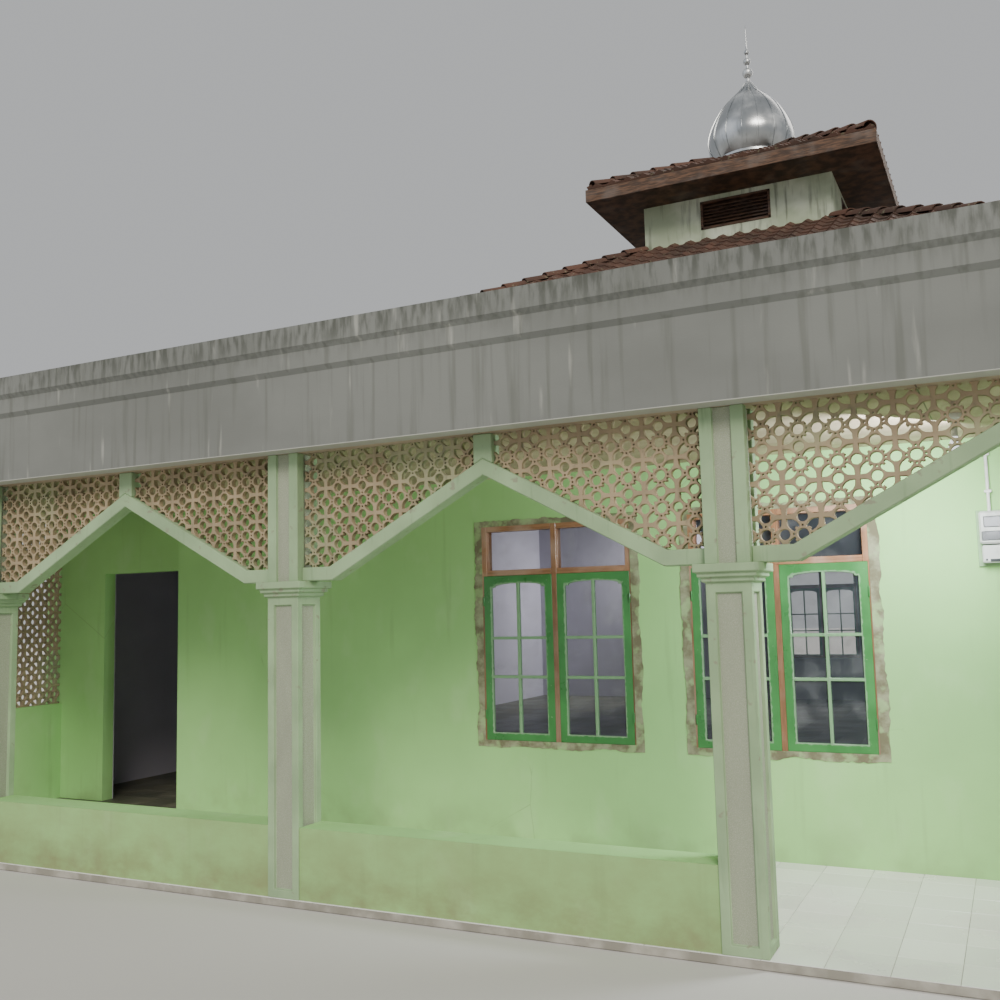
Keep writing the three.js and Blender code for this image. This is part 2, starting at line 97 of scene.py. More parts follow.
class MosqueColours(bpy.types.PropertyGroup):
    wall: colour_setting("Wall", "Limewash green of the outside walls", "#A4D98C")
    inside: colour_setting("Inside", "Pale paint of the walls inside the hall", "#C9C6D4")
    column: colour_setting("Column", "Paint of the columns and arch bands", "#9DB890")
    screen: colour_setting("Screen", "Cast cement of the perforated screens", "#A8987D")
    fascia: colour_setting("Fascia", "Paint of the tall fascia", "#7F827E")
    leaf: colour_setting("Window leaf", "Gloss paint of the window leaves", "#468D4B")
    wood: colour_setting("Window wood", "Varnished wood of the window frames", "#A97B58")
    tile: colour_setting("Roof tile", "Fired clay of the roof tiles", "#5A4238")


class MosqueSizes(bpy.types.PropertyGroup):
    screen_pitch: size_setting("Screen pitch", "Width of one repeat of the screens' pattern", 0.187)
    screen_rise: size_setting("Screen rise", "Height of one repeat of the screens' pattern", 0.181)
    tile_width: size_setting("Tile width", "Cover width of a roof tile", 0.205)
    tile_gauge: size_setting("Tile gauge", "Exposed length of a roof tile", 0.26)
    floor_tile: size_setting("Floor tile", "Side of a floor tile", 0.30)
    mortar_band: size_setting("Mortar band", "Width of the bare mortar round a window", 0.06)


def paints():
    return bpy.context.scene.mosque_colours


def measures():
    return bpy.context.scene.mosque_sizes


# Shapes


def verts_of(result):
    return [item for item in result["geom"] if isinstance(item, bmesh.types.BMVert)]


def rectangle(x0, x1, z0, z1):
    return [(x0, z0), (x1, z0), (x1, z1), (x0, z1)]


def ring(x, z, radius, count):
    turn = 2 * math.pi / count
    return [(x + radius * math.cos(k * turn), z + radius * math.sin(k * turn)) for k in range(count)]


def outline(bm, points, closed=True):
    """Joins [x, z] points in the plane y = 0 by edges."""
    corners = [bm.verts.new((x, 0.0, z)) for x, z in points]
    following = corners[1:] + corners[:1] if closed else corners[1:]
    return [bm.edges.new(pair) for pair in zip(corners, following)]


def soften(bm, width):
    """Bevels every sharp edge."""
    sharp = [e for e in bm.edges if e.is_manifold and e.calc_face_angle() > SMOOTH_LIMIT]
    bmesh.ops.bevel(
        bm,
        geom=sharp,
        offset=width,
        offset_type="OFFSET",
        segments=1,
        profile=0.5,
        affect="EDGES",
        material=-1,
        clamp_overlap=True,
    )


def thicken(bm, y0, y1):
    """Makes flat upright faces solid from depth y0 to y1."""
    pushed = bmesh.ops.extrude_face_region(bm, geom=bm.faces[:])
    bmesh.ops.translate(bm, vec=(0, y1 - y0, 0), verts=verts_of(pushed))
    bmesh.ops.translate(bm, vec=(0, y0, 0), verts=bm.verts)
    bmesh.ops.recalc_face_normals(bm, faces=bm.faces)


def plate(points, holes, y0, y1, bevel=0.0):
    """An upright board of that outline, with its holes, from depth y0 to y1."""
    bm = bmesh.new()
    edges = [edge for loop in [points, *holes] for edge in outline(bm, loop)]
    bmesh.ops.triangle_fill(bm, use_beauty=True, use_dissolve=False, edges=edges)
    thicken(bm, y0, y1)
    if bevel:
        soften(bm, bevel)
    return bm


def board(low, high, bevel=0.003):
    """A length of timber or a slab with its edges taken off."""
    low, high = Vector(low), Vector(high)
    bm = bmesh.new()
    bmesh.ops.create_cube(bm, size=1.0)
    bmesh.ops.scale(bm, vec=high - low, verts=bm.verts)
    bmesh.ops.translate(bm, vec=(low + high) / 2, verts=bm.verts)
    if bevel:
        soften(bm, bevel)
    return bm


def turned(profile, sides, centre=(0, 0)):
    """A closed shape turned about an upright line. The profile runs from the line and back to it."""
    bm = bmesh.new()
    edges = outline(bm, profile, closed=False)
    turn = Matrix.Rotation(math.pi / sides, 4, "Z")
    bmesh.ops.transform(bm, matrix=turn, verts=bm.verts)
    bmesh.ops.spin(
        bm,
        geom=bm.verts[:] + edges,
        cent=(0, 0, 0),
        axis=(0, 0, 1),
        angle=2 * math.pi,
        steps=sides,
        use_merge=True,
        use_normal_flip=False,
    )
    bmesh.ops.remove_doubles(bm, verts=bm.verts, dist=1e-5)
    bmesh.ops.recalc_face_normals(bm, faces=bm.faces)
    bmesh.ops.translate(bm, vec=(centre[0], centre[1], 0), verts=bm.verts)
    return bm


def squared(profile):
    """The same profile, written in half widths, for a square shape."""
    return [(half * math.sqrt(2), z) for half, z in profile]


def smooth_line(points, steps):
    """A Catmull-Rom line through the points."""
    line = []
    for k in range(len(points) - 1):
        near = points[max(k - 1, 0)], points[k], points[k + 1], points[min(k + 2, len(points) - 1)]
        for step in range(steps):
            t = step / steps
            point = []
            for p, q, r, s in zip(*near):
                bends = (2 * p - 5 * q + 4 * r - s) * t**2 + (3 * q - p - 3 * r + s) * t**3
                point.append(0.5 * (2 * q + (r - p) * t + bends))
            line.append(tuple(point))
    return [*line, points[-1]]


def trim(bm, point, outward):
    """Cuts a shape off at a plane and closes the cut."""
    cut = bmesh.ops.bisect_plane(
        bm,
        geom=bm.verts[:] + bm.edges[:] + bm.faces[:],
        dist=1e-6,
        plane_co=point,
        plane_no=outward,
        clear_outer=True,
    )
    rim = [item for item in cut["geom_cut"] if isinstance(item, bmesh.types.BMEdge)]
    bmesh.ops.holes_fill(bm, edges=rim, sides=0)


def repeat(bm, count, step):
    """Copies a whole shape along a line, count of it in all."""
    first = bm.verts[:] + bm.edges[:] + bm.faces[:]
    for k in range(1, count):
        copy = bmesh.ops.duplicate(bm, geom=first)
        bmesh.ops.translate(bm, vec=Vector(step) * k, verts=verts_of(copy))


def move(bm, matrix):
    bmesh.ops.transform(bm, matrix=matrix, verts=bm.verts)
    return bm


def slide(bm, x, y, z):
    return move(bm, Matrix.Translation((x, y, z)))


def paint(bm, index):
    for face in bm.faces:
        face.material_index = index
    return bm


def joined(shapes):
    """Puts several shapes into the first one."""
    whole, *others = shapes
    for part in others:
        carrier = bpy.data.meshes.new("carrier")
        part.to_mesh(carrier)
        part.free()
        whole.from_mesh(carrier)
        bpy.data.meshes.remove(carrier)
    return whole


def copies(bm, matrices):
    """The shape once for each matrix, each a shape of its own."""
    template = bpy.data.meshes.new("template")
    bm.to_mesh(template)
    bm.free()
    shapes = []
    for matrix in matrices:
        shape = bmesh.new()
        shape.from_mesh(template)
        shapes.append(move(shape, matrix))
    bpy.data.meshes.remove(template)
    return shapes


def toned(bm, width, length, origin=(0.0, 0.0)):
    """Gives every face a tone from 0 to 1 that looks random and stays the same over one tile of a grid."""
    layer = bm.faces.layers.float.new("tone")
    for face in bm.faces:
        centre = face.calc_center_median()
        column = math.floor((centre.x - origin[0]) / width)
        row = math.floor((centre.y - origin[1]) / length)
        face[layer] = math.sin(column * SCATTER[0] + row * SCATTER[1]) * SCATTER[2] % 1.0
    return bm


def round_hall(count=4):
    """Equal turns about the middle of the hall, the first none."""
    middle = Matrix.Translation((0, HALL_MIDDLE_Y, 0))
    return [middle @ Matrix.Rotation(2 * math.pi * k / count, 4, "Z") for k in range(count)]


def piece(name, bm, materials, stands_for=()):
    """Makes the shape an object that rides on the building."""
    for face in bm.faces:
        face.smooth = True
    for edge in bm.edges:
        edge.smooth = edge.is_manifold and edge.calc_face_angle() < SMOOTH_LIMIT
    mesh = bpy.data.meshes.new(name)
    bm.to_mesh(mesh)
    bm.free()
    for material in materials:
        mesh.materials.append(material)
    made = bpy.data.objects.new(name, mesh)
    bpy.context.scene.collection.objects.link(made)
    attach(made, "root")
    if stands_for:
        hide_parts(*stands_for)


def coat(node_name, material):
    """Gives a frame node its material and leaves its mesh alone."""
    for material_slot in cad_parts[node_name].material_slots:
        material_slot.material = material


# Materials

SOFT = {"interpolation_type": "SMOOTHSTEP"}


def add(tree, kind, inputs=None, output=0, **settings):
    """Adds a node, sets its properties, sets or links its inputs and gives one of its outputs."""
    node = tree.nodes.new(kind)
    for key, value in settings.items():
        setattr(node, key, value)
    for key, value in (inputs or {}).items():
        if isinstance(value, bpy.types.NodeSocket):
            tree.links.new(value, node.inputs[key])
        else:
            node.inputs[key].default_value = linear(value) if isinstance(value, str) else value
    return node.outputs[output] if node.outputs else None


def lumps(tree, where, size, detail=4.0, stretch=(1, 1, 1), shift=(0, 0, 0), rough=0.5):
    """Soft noise with lumps about size metres across, drawn out along an axis whose stretch is over 1."""
    scale = [1 / size / s for s in stretch]
    place = add(tree, "ShaderNodeMapping", {"Vector": where, "Location": shift, "Scale": scale})
    look = {"Vector": place, "Scale": 1.0, "Detail": detail, "Roughness": rough}
    return add(tree, "ShaderNodeTexNoise", look, output="Fac")


def patches(tree, where, size, low, high, **look):
    """A mask of soft patches: 0 where lumps of that size are under low and 1 where they are over high."""
    levels = {"Value": lumps(tree, where, size, **look), "From Min": low, "From Max": high}
    return add(tree, "ShaderNodeMapRange", levels, **SOFT)


def stain(tree, under, over, mask, *weaker):
    """Lays a colour over another where the mask is 1, weakened by further masks or plain numbers."""
    for factor in weaker:
        mask = add(tree, "ShaderNodeMath", {0: mask, 1: factor}, operation="MULTIPLY")
    return add(tree, "ShaderNodeMix", {0: mask, 6: under, 7: over}, output=2, data_type="RGBA")


def finished(tree, colour, roughness, bumps=(), **constants):
    """The shader. Roughness is a number, or a mask and the roughness where it is 0 and 1. Each bump is a
    height, its depth in metres, negative for a hollow, and its strength."""
    if isinstance(roughness, tuple):
        mask, at_none, at_full = roughness
        roughness = add(tree, "ShaderNodeMapRange", {"Value": mask, "To Min": at_none, "To Max": at_full})
    inputs = {"Base Color": colour, "Roughness": roughness}
    below = {}
    for height, depth, strength in bumps:
        bump = {"Height": height, "Distance": abs(depth), "Strength": strength, **below}
        below = {"Normal": add(tree, "ShaderNodeBump", bump, invert=depth < 0)}
    inputs.update(below)
    inputs.update({name.replace("_", " "): value for name, value in constants.items()})
    return add(tree, "ShaderNodeBsdfPrincipled", inputs)


def scaled(colour, factor):
    return (colour[0] * factor, colour[1] * factor, colour[2] * factor, 1.0)


made_materials = {}


def surface(finish, *choice):
    """The material of a finish, named after it and made the first time it is asked for. A finish reads where,
    the place on the building in metres, so that the sizes in its patterns are real ones."""
    name = "_".join([finish.__name__, *choice])
    if name not in made_materials:
        material = bpy.data.materials.new(name)
        material.use_nodes = True
        tree = material.node_tree
        tree.nodes.clear()
        where = add(tree, "ShaderNodeTexCoord", output="Object")
        add(tree, "ShaderNodeOutputMaterial", {"Surface": finish(tree, where, *choice)})
        made_materials[name] = material
    return made_materials[name]


def limewashed_plaster(tree, where):
    """Trowelled cement plaster under mint green limewash: matt, cloudy, with faint trowel waves and thin
    cracks. Inside the hall the same plaster is a pale lavender white, and the seats' street side is splashed
    with soil."""
    x, y, z = add(tree, "ShaderNodeSeparateXYZ", {0: where}).node.outputs
    cloud = patches(tree, where, 0.9, 0.35, 0.7)
    faded = patches(tree, where, 0.28, 0.52, 0.74, stretch=(1, 1, 1.8), shift=(3, 1, 7))
    damp = patches(tree, where, 0.35, 0.4, 0.66, shift=(5, 5, 0))
    near_ground = add(tree, "ShaderNodeMapRange", {"Value": z, "From Min": 0.42, "From Max": 0.06}, **SOFT)
    streak = patches(tree, where, 0.09, 0.6, 0.8, stretch=(1, 1, 14), shift=(0, 0, 2))
    web = {"Vector": where, "Scale": 0.55}
    edge = add(tree, "ShaderNodeTexVoronoi", web, "Distance", feature="DISTANCE_TO_EDGE")
    line = add(tree, "ShaderNodeMapRange", {"Value": edge, "From Min": 0.0016, "From Max": 0.0005}, **SOFT)
    cracked = patches(tree, where, 1.1, 0.6, 0.66, shift=(9, 2, 4))
    crack = add(tree, "ShaderNodeMath", {0: line, 1: cracked}, operation="MULTIPLY")
    green = stain(tree, scaled(paints().wall, 0.9), paints().wall, cloud)
    green = stain(tree, green, "#B7DBA1", faded, 0.3)
    green = stain(tree, green, "#7E8F68", damp, near_ground, 0.35)
    green = stain(tree, green, "#7C9C6C", streak, 0.25)
    green = stain(tree, green, "#6E8560", crack, 0.3)
    street = add(tree, "ShaderNodeMath", {0: y, 1: SEAT_FRONT + 0.004}, operation="LESS_THAN")
    soil = patches(tree, where, 0.22, 0.28, 0.72, detail=9, rough=0.62, stretch=(1.6, 1, 1), shift=(2, 0, 5))
    foot = {"Value": z, "From Min": 0.4, "From Max": 0.06, "To Min": 0.2, "To Max": 0.5}
    patchy = add(tree, "ShaderNodeMapRange", foot, **SOFT)
    splash = add(tree, "ShaderNodeMath", {0: soil, 1: patchy, 2: 0.26}, operation="MULTIPLY_ADD")
    green = stain(tree, green, "#82785A", street, splash)
    lavender = stain(tree, scaled(paints().inside, 0.88), paints().inside, cloud)
    sideways = add(tree, "ShaderNodeMath", {0: x}, operation="ABSOLUTE")
    beside = add(tree, "ShaderNodeMath", {0: sideways, 1: FRONT_WALL_HALF - 0.005}, operation="GREATER_THAN")
    depth = add(tree, "ShaderNodeMath", {0: beside, 1: -DOOR_RECESS, 2: y}, operation="MULTIPLY_ADD")
    rear = HALL_Y + 2 * HALL_HALF - WALL
    behind = add(tree, "ShaderNodeMath", {0: depth, 1: HALL_Y + WALL - 0.01}, operation="GREATER_THAN")
    before = add(tree, "ShaderNodeMath", {0: y, 1: rear + 0.005}, operation="LESS_THAN")
    within = add(tree, "ShaderNodeMath", {0: sideways, 1: HALL_HALF - WALL + 0.005}, operation="LESS_THAN")
    colour = stain(tree, green, lavender, behind, before, within)
    waves, sand = lumps(tree, where, 0.45, detail=2), lumps(tree, where, 0.02, detail=6)
    bumps = [(waves, 0.004, 0.5), (sand, 0.0012, 0.35), (crack, -0.002, 0.6)]
    return finished(tree, colour, (cloud, 0.78, 0.9), bumps, Specular_IOR_Level=0.25)


def painted_cement(tree, where):
    """Smooth float-finished cement under a thinner coat of the green: greyer, with brush marks and chipped
    arrises."""
    colour = paints().column
    bare = patches(tree, where, 0.07, 0.63, 0.7, detail=8, shift=(2, 7, 1))
    tone = stain(tree, scaled(colour, 0.8), colour, patches(tree, where, 0.35, 0.35, 0.7))
    tone = stain(tree, tone, "#8B8776", bare, 0.7)
    tone = stain(tree, tone, "#5F7355", patches(tree, where, 0.03, 0.58, 0.78, stretch=(1, 1, 12)), 0.3)
    brushed, sand = lumps(tree, where, 0.16, detail=3), lumps(tree, where, 0.006, detail=5)
    bumps = [(brushed, 0.002, 0.5), (sand, 0.0006, 0.4)]
    return finished(tree, tone, (bare, 0.68, 0.83), bumps, Specular_IOR_Level=0.3)


def washed_grit(tree, where):
    """Fine washed grit pressed into the columns' sunken strips: pale grey green, 5 mm grains, rain
    stained."""
    grain = 0.005
    packed = {"Vector": where, "Scale": 1 / grain, "Randomness": 0.9}
    stones = add(tree, "ShaderNodeTexVoronoi", packed).node.outputs
    hue, pale, _ = add(tree, "ShaderNodeSeparateXYZ", {0: stones["Color"]}).node.outputs
    dome = {"Value": stones["Distance"], "From Min": 0.62, "From Max": 0.1}
    height = add(tree, "ShaderNodeMapRange", dome, **SOFT)
    stone = stain(tree, "#A9B19C", "#C3C6B4", hue)
    stone = stain(tree, stone, "#96988A", pale, 0.35)
    colour = stain(tree, "#99A28B", stone, height)
    colour = stain(tree, colour, "#7D8070", patches(tree, where, 0.25, 0.4, 0.7, stretch=(1, 1, 3)), 0.25)
    bumps = [(height, 0.002, 0.8), (lumps(tree, where, 0.06, detail=3), 0.002, 0.3)]
    return finished(tree, colour, (height, 0.85, 0.65), bumps)


def cast_cement(tree, where):
    """Cement cast in small moulds: sandy, pocked with air holes, limewashed cream with green splashes from
    the walls."""
    base = paints().screen
    cloud = patches(tree, where, 0.22, 0.35, 0.68)
    cells = add(tree, "ShaderNodeTexVoronoi", {"Vector": where, "Scale": 120.0}, "Distance")
    pore = add(tree, "ShaderNodeMapRange", {"Value": cells, "From Min": 0.05, "From Max": 0.22}, **SOFT)
    colour = stain(tree, scaled(base, 0.78), base, cloud)
    colour = stain(tree, colour, "#93A883", patches(tree, where, 0.5, 0.5, 0.66, shift=(4, 0, 9)), 0.38)
    soot = patches(tree, where, 0.05, 0.56, 0.72, detail=7, stretch=(1, 1, 2))
    colour = stain(tree, colour, "#6E6A5B", soot, 0.5)
    bumps = [(pore, 0.0012, 0.4), (lumps(tree, where, 0.008, detail=5), 0.0008, 0.6)]
    return finished(tree, colour, (cloud, 0.82, 0.92), bumps, Specular_IOR_Level=0.2)


def weathered_cement_paint(tree, where):
    """Grey cement paint on a cast fascia: chalky, rain streaked and mildewed from its top edge down. Its
    underside is painted pale as painted light, so that it shows as a thin light line."""
    base = paints().fascia
    z = add(tree, "ShaderNodeSeparateXYZ", {0: where}, "Z")
    streak = patches(tree, where, 0.05, 0.5, 0.72, stretch=(1, 1, 22), detail=5)
    lime = patches(tree, where, 0.07, 0.62, 0.78, stretch=(1, 1, 9), shift=(8, 3, 1))
    mould = patches(tree, where, 0.035, 0.4, 0.66, detail=8, stretch=(1, 1, 5), shift=(1, 6, 2))
    rise = {"Value": z, "From Min": SLAB_BOTTOM + 0.5, "From Max": SLAB_BOTTOM + 0.79}
    near_top = add(tree, "ShaderNodeMapRange", rise, **SOFT)
    painted_lit_underside = add(tree, "ShaderNodeMath", {0: z, 1: SLAB_BOTTOM + 0.004}, operation="LESS_THAN")
    cloud = patches(tree, where, 0.7, 0.35, 0.7, stretch=(1.6, 1.6, 1))
    colour = stain(tree, scaled(base, 0.82), base, cloud)
    colour = stain(tree, colour, "#5C5F58", streak, 0.45)
    colour = stain(tree, colour, "#B4B5AD", lime, 0.5)
    colour = stain(tree, colour, "#43463F", mould, near_top, 0.7)
    # painted light: the underside is made pale grey to stand in for lamp light falling on it
    colour = stain(tree, colour, "#BDBEB6", painted_lit_underside, 0.85)
    waves, sand = lumps(tree, where, 0.5, detail=2), lumps(tree, where, 0.012, detail=6)
    bumps = [(waves, 0.005, 0.4), (sand, 0.001, 0.45)]
    return finished(tree, colour, 0.86, bumps, Specular_IOR_Level=0.2)


def ceiling_and_deck(tree, where):
    """The verandah's flat roof: beige painted boards 1.2 m wide seen from below, grey tarred cement seen from
    above."""
    x, _, z = add(tree, "ShaderNodeSeparateXYZ", {0: where}).node.outputs
    cloud = patches(tree, where, 0.5, 0.35, 0.7, detail=8, rough=0.62)
    across = add(tree, "ShaderNodeMath", {0: x, 1: 1.2}, operation="PINGPONG")
    joint = add(tree, "ShaderNodeMapRange", {"Value": across, "From Min": 0.006, "From Max": 0.002}, **SOFT)
    above = add(tree, "ShaderNodeMath", {0: z, 1: SLAB_BOTTOM + 0.01}, operation="GREATER_THAN")
    boards = stain(tree, "#A08F7B", "#BFAF98", cloud)
    boards = stain(tree, boards, "#4C4238", joint, 0.7)
    colour = stain(tree, boards, stain(tree, "#5F605A", "#7E7E75", cloud), above)
    bumps = [(joint, -0.003, 0.7), (lumps(tree, where, 0.02), 0.001, 0.3)]
    return finished(tree, colour, 0.8, bumps, Specular_IOR_Level=0.3)


def glazed_ceramic(tree, where):
    """Glazed ceramic floor tile: glossy, each tile a little different, dusty in patches. White on the
    verandah, dark olive grey in the hall."""
    tone = add(tree, "ShaderNodeAttribute", output="Fac", attribute_name="tone")
    y = add(tree, "ShaderNodeSeparateXYZ", {0: where}, "Y")
    dust = patches(tree, where, 0.6, 0.42, 0.72, detail=6)
    indoors = add(tree, "ShaderNodeMath", {0: y, 1: HALL_Y + WALL / 2}, operation="GREATER_THAN")
    white, olive = stain(tree, "#DEE0DB", "#ECEEE9", tone), stain(tree, "#4E5145", "#666657", tone)
    colour = stain(tree, white, olive, indoors)
    colour = stain(tree, colour, "#A9ADA6", patches(tree, where, 0.006, 0.66, 0.72, detail=2), 0.35)
    colour = stain(tree, colour, "#B4AE9E", dust, 0.25)
    clean = add(tree, "ShaderNodeMapRange", {"Value": indoors, "To Min": 0.12, "To Max": 0.42})
    rough = add(tree, "ShaderNodeMath", {0: dust, 1: 0.35, 2: clean}, operation="MULTIPLY_ADD")
    return finished(tree, colour, rough, [(lumps(tree, where, 0.1, detail=1), 0.0004, 0.2)])


def cement_screed(tree, where):
    """Grey screed between and below the floor tiles: gritty and cloudy with dirt."""
    colour = stain(tree, "#8F8C82", "#B3B0A6", patches(tree, where, 0.15, 0.35, 0.7, detail=7))
    bumps = [(lumps(tree, where, 0.01, detail=6), 0.001, 0.6)]
    return finished(tree, colour, 0.9, bumps, Specular_IOR_Level=0.2)


def bare_mortar(tree, where):
    """Sand and cement mortar left unpainted where the window frames were let in: grey brown, gritty, splashed
    green."""
    colour = stain(tree, "#74715A", "#9B9F82", patches(tree, where, 0.16, 0.4, 0.64, detail=5, rough=0.6))
    splash = patches(tree, where, 0.11, 0.5, 0.62, detail=7, shift=(6, 6, 6))
    colour = stain(tree, colour, "#A6C98C", splash, 0.55)
    bumps = [(lumps(tree, where, 0.02, detail=5), 0.002, 0.5)]
    return finished(tree, colour, 0.92, bumps, Specular_IOR_Level=0.15)


# How much the grain is drawn out along x, y and z
GRAIN_RUNS = {"upright": (1, 1, 14), "level": (14, 1, 1), "side": (1, 14, 1)}


def varnished_meranti(tree, where, run):
    """Meranti under worn varnish: orange brown, straight grain 6 to 12 mm wide along the member, darker
    pores. The uprights are darkened beside the leaves, below the transom, as painted shade."""
    base = paints().wood
    along = GRAIN_RUNS[run]
    grain = lumps(tree, where, 0.016, detail=6, stretch=along, rough=0.6)
    fibre = lumps(tree, where, 0.003, detail=3, stretch=[2.5 * s for s in along], shift=(1, 2, 3))
    late_wood = add(tree, "ShaderNodeMapRange", {"Value": grain, "From Min": 0.3, "From Max": 0.7}, **SOFT)
    pores = add(tree, "ShaderNodeMapRange", {"Value": fibre, "From Min": 0.55, "From Max": 0.7}, **SOFT)
    worn = patches(tree, where, 0.3, 0.44, 0.62, detail=6, shift=(4, 4, 4))
    colour = stain(tree, scaled(base, 0.62), base, late_wood)
    colour = stain(tree, colour, "#6F4630", pores, 0.45)
    colour = stain(tree, colour, "#C5AB99", worn, 0.42)
    if run == "upright":
        z = add(tree, "ShaderNodeSeparateXYZ", {0: where}, "Z")
        heights = {"Value": z, "From Min": LEAF_TOP + 0.03, "From Max": LEAF_TOP - 0.17}
        painted_shade_beside_leaf = add(tree, "ShaderNodeMapRange", heights, **SOFT)
        # painted shade: the uprights go darker below the transom, as if the leaves' edges shaded them
        colour = stain(tree, colour, "#5E432C", painted_shade_beside_leaf, 0.4)
    bumps = [(grain, 0.0008, 0.5), (fibre, 0.0004, 0.5)]
    return finished(tree, colour, (worn, 0.42, 0.67), bumps, Coat_Weight=0.15)


def gloss_enamel(tree, where):
    """Green gloss enamel brushed on wood: shiny, with long brush marks and small chips that show a pale
    undercoat. Round the panes and on the bars, where the worn attribute is 1, it is rubbed pale and smeared
    with putty."""
    base = paints().leaf
    cloud = patches(tree, where, 0.25, 0.35, 0.7)
    rubbed = add(tree, "ShaderNodeAttribute", output="Fac", attribute_name="worn")
    wander = lumps(tree, where, 0.03, detail=6, shift=(7, 1, 2))
    ragged_edge = add(tree, "ShaderNodeMath", {0: wander, 1: 0.5, 2: rubbed}, operation="MULTIPLY_ADD")
    smear = add(tree, "ShaderNodeMapRange", {"Value": ragged_edge, "From Min": 1.08, "From Max": 1.2}, **SOFT)
    chip = patches(tree, where, 0.018, 0.69, 0.72, detail=8, shift=(3, 8, 5))
    colour = stain(tree, scaled(base, 0.75), base, cloud)
    colour = stain(tree, colour, "#A9C4A4", smear, 0.42)
    colour = stain(tree, colour, "#A9B89A", chip, 0.7)
    brush = lumps(tree, where, 0.004, detail=3, stretch=(1, 1, 25))
    bumps = [(brush, 0.0005, 0.45), (chip, -0.0008, 0.5)]
    return finished(tree, colour, (cloud, 0.27, 0.42), bumps)


def glazing_putty(tree, where):
    """Glazing putty thinly painted over: pale green, finger smoothed, uneven."""
    colour = stain(tree, "#97BE99", "#BED2B9", patches(tree, where, 0.03, 0.4, 0.65, detail=5))
    return finished(tree, colour, 0.6, [(lumps(tree, where, 0.03, detail=5), 0.0015, 0.6)])


def float_glass(tree, where):
    """4 mm clear float glass, faintly dusty. Thin, so it is see-through paint with a sharp gloss and no
    refraction."""
    dust = patches(tree, where, 0.2, 0.45, 0.8, detail=7)
    haze = add(tree, "ShaderNodeMapRange", {"Value": dust, "To Min": 0.13, "To Max": 0.23})
    colour = stain(tree, "#5C646C", "#989C9F", dust)
    return finished(tree, colour, (dust, 0.04, 0.24), Alpha=haze, IOR=1.5)


def aged_clay_tile(tree, where):
    """Pressed and fired clay tile gone dark with age: each tile its own tone, black algae, grey green lichen
    spots."""
    base = paints().tile
    tone = add(tree, "ShaderNodeAttribute", output="Fac", attribute_name="tone")
    colour = stain(tree, scaled(base, 0.78), scaled(base, 1.2), tone)
    algae = patches(tree, where, 0.9, 0.4, 0.66, detail=10, rough=0.68)
    colour = stain(tree, colour, "#35302B", algae, 0.65)
    lichen = patches(tree, where, 0.05, 0.62, 0.68, detail=6, shift=(5, 3, 8))
    colour = stain(tree, colour, "#7F8068", lichen, 0.5)
    bumps = [(lumps(tree, where, 0.012, detail=6), 0.0015, 0.5)]
    return finished(tree, colour, (tone, 0.74, 0.89), bumps, Specular_IOR_Level=0.3)


def oiled_hardwood(tree, where):
    """Rough sawn hardwood boards under brown oil paint: coarse dark grain, greyed in patches by the sun."""
    grain = lumps(tree, where, 0.012, detail=6, stretch=(10, 10, 1))
    late_wood = add(tree, "ShaderNodeMapRange", {"Value": grain, "From Min": 0.35, "From Max": 0.7}, **SOFT)
    colour = stain(tree, "#3B2C22", "#6A4E3A", late_wood)
    colour = stain(tree, colour, "#77706A", patches(tree, where, 0.4, 0.5, 0.7, shift=(2, 2, 2)), 0.4)
    return finished(tree, colour, 0.72, [(grain, 0.0015, 0.6)])


def streaked_limewash(tree, where):
    """Cement plaster of the raised tier under pale limewash: chalky, with long dark rain streaks."""
    colour = stain(tree, "#A9B69B", "#CBD4C0", patches(tree, where, 0.4, 0.35, 0.7))
    streak = patches(tree, where, 0.05, 0.5, 0.74, stretch=(1, 1, 10), detail=5)
    colour = stain(tree, colour, "#565B50", streak, 0.6)
    bumps = [(lumps(tree, where, 0.02, detail=6), 0.0012, 0.5)]
    return finished(tree, colour, 0.85, bumps, Specular_IOR_Level=0.2)


def oxidised_aluminium(tree, where):
    """Aluminium sheet beaten over a frame: bright but oxidised, dented a little in each gore, rain
    streaked."""
    oxide = patches(tree, where, 0.35, 0.4, 0.7, detail=7)
    run = patches(tree, where, 0.035, 0.56, 0.76, stretch=(1, 1, 10))
    colour = stain(tree, "#A8ACAE", "#D2D5D6", oxide)
    colour = stain(tree, colour, "#7C7F7C", run, 0.4)
    bumps = [(lumps(tree, where, 0.16, detail=2), 0.006, 0.35), (run, 0.0005, 0.3)]
    return finished(tree, colour, (oxide, 0.28, 0.5), bumps, Metallic=1.0)


# The colour and roughness of each plastic part
PLASTICS = {
    "housing": ("#C3C7C1", 0.45),
    "cover": ("#3A3F3F", 0.2),
    "backing": ("#8FB384", 0.6),
    "conduit": ("#D8D9D2", 0.4),
}


def moulded_plastic(tree, where, part):
    """Moulded plastic: even, satin, a little dirty in the corners. Grey housing, smoked cover, white conduit,
    and the backing painted over with the wall."""
    hex_colour, roughness = PLASTICS[part]
    dirt = patches(tree, where, 0.06, 0.5, 0.75, detail=7)
    colour = stain(tree, hex_colour, scaled(linear(hex_colour), 0.6), dirt, 0.4)
    bumps = [(lumps(tree, where, 0.0015, detail=2), 0.0002, 0.3)]
    return finished(tree, colour, (dirt, roughness, roughness + 0.2), bumps)


def opal_bulb(tree, where):
    """Opal plastic bulb, softly bright."""
    colour = stain(tree, "#F6F4EC", "#E2DECF", patches(tree, where, 0.02, 0.4, 0.7, detail=5))
    return finished(tree, colour, 0.35, Emission_Color="#F4F8FF", Emission_Strength=1.5)


def pale_floor(tree, where):
    """The studio's matt floor."""
    return finished(tree, "#C9C8C4", 0.9)


# Columns

SHAFT_HALF = 0.12
SHAFT_TOP = 1.918
CAPITAL_TOP = 2.017
FILLET_HEIGHT = 0.025
FILLET_JUT = 0.018
BORDER = 0.07
STRIP_DEPTH = 0.017
STRIP_SLANT = 0.006
COLUMN_BEVEL = 0.003


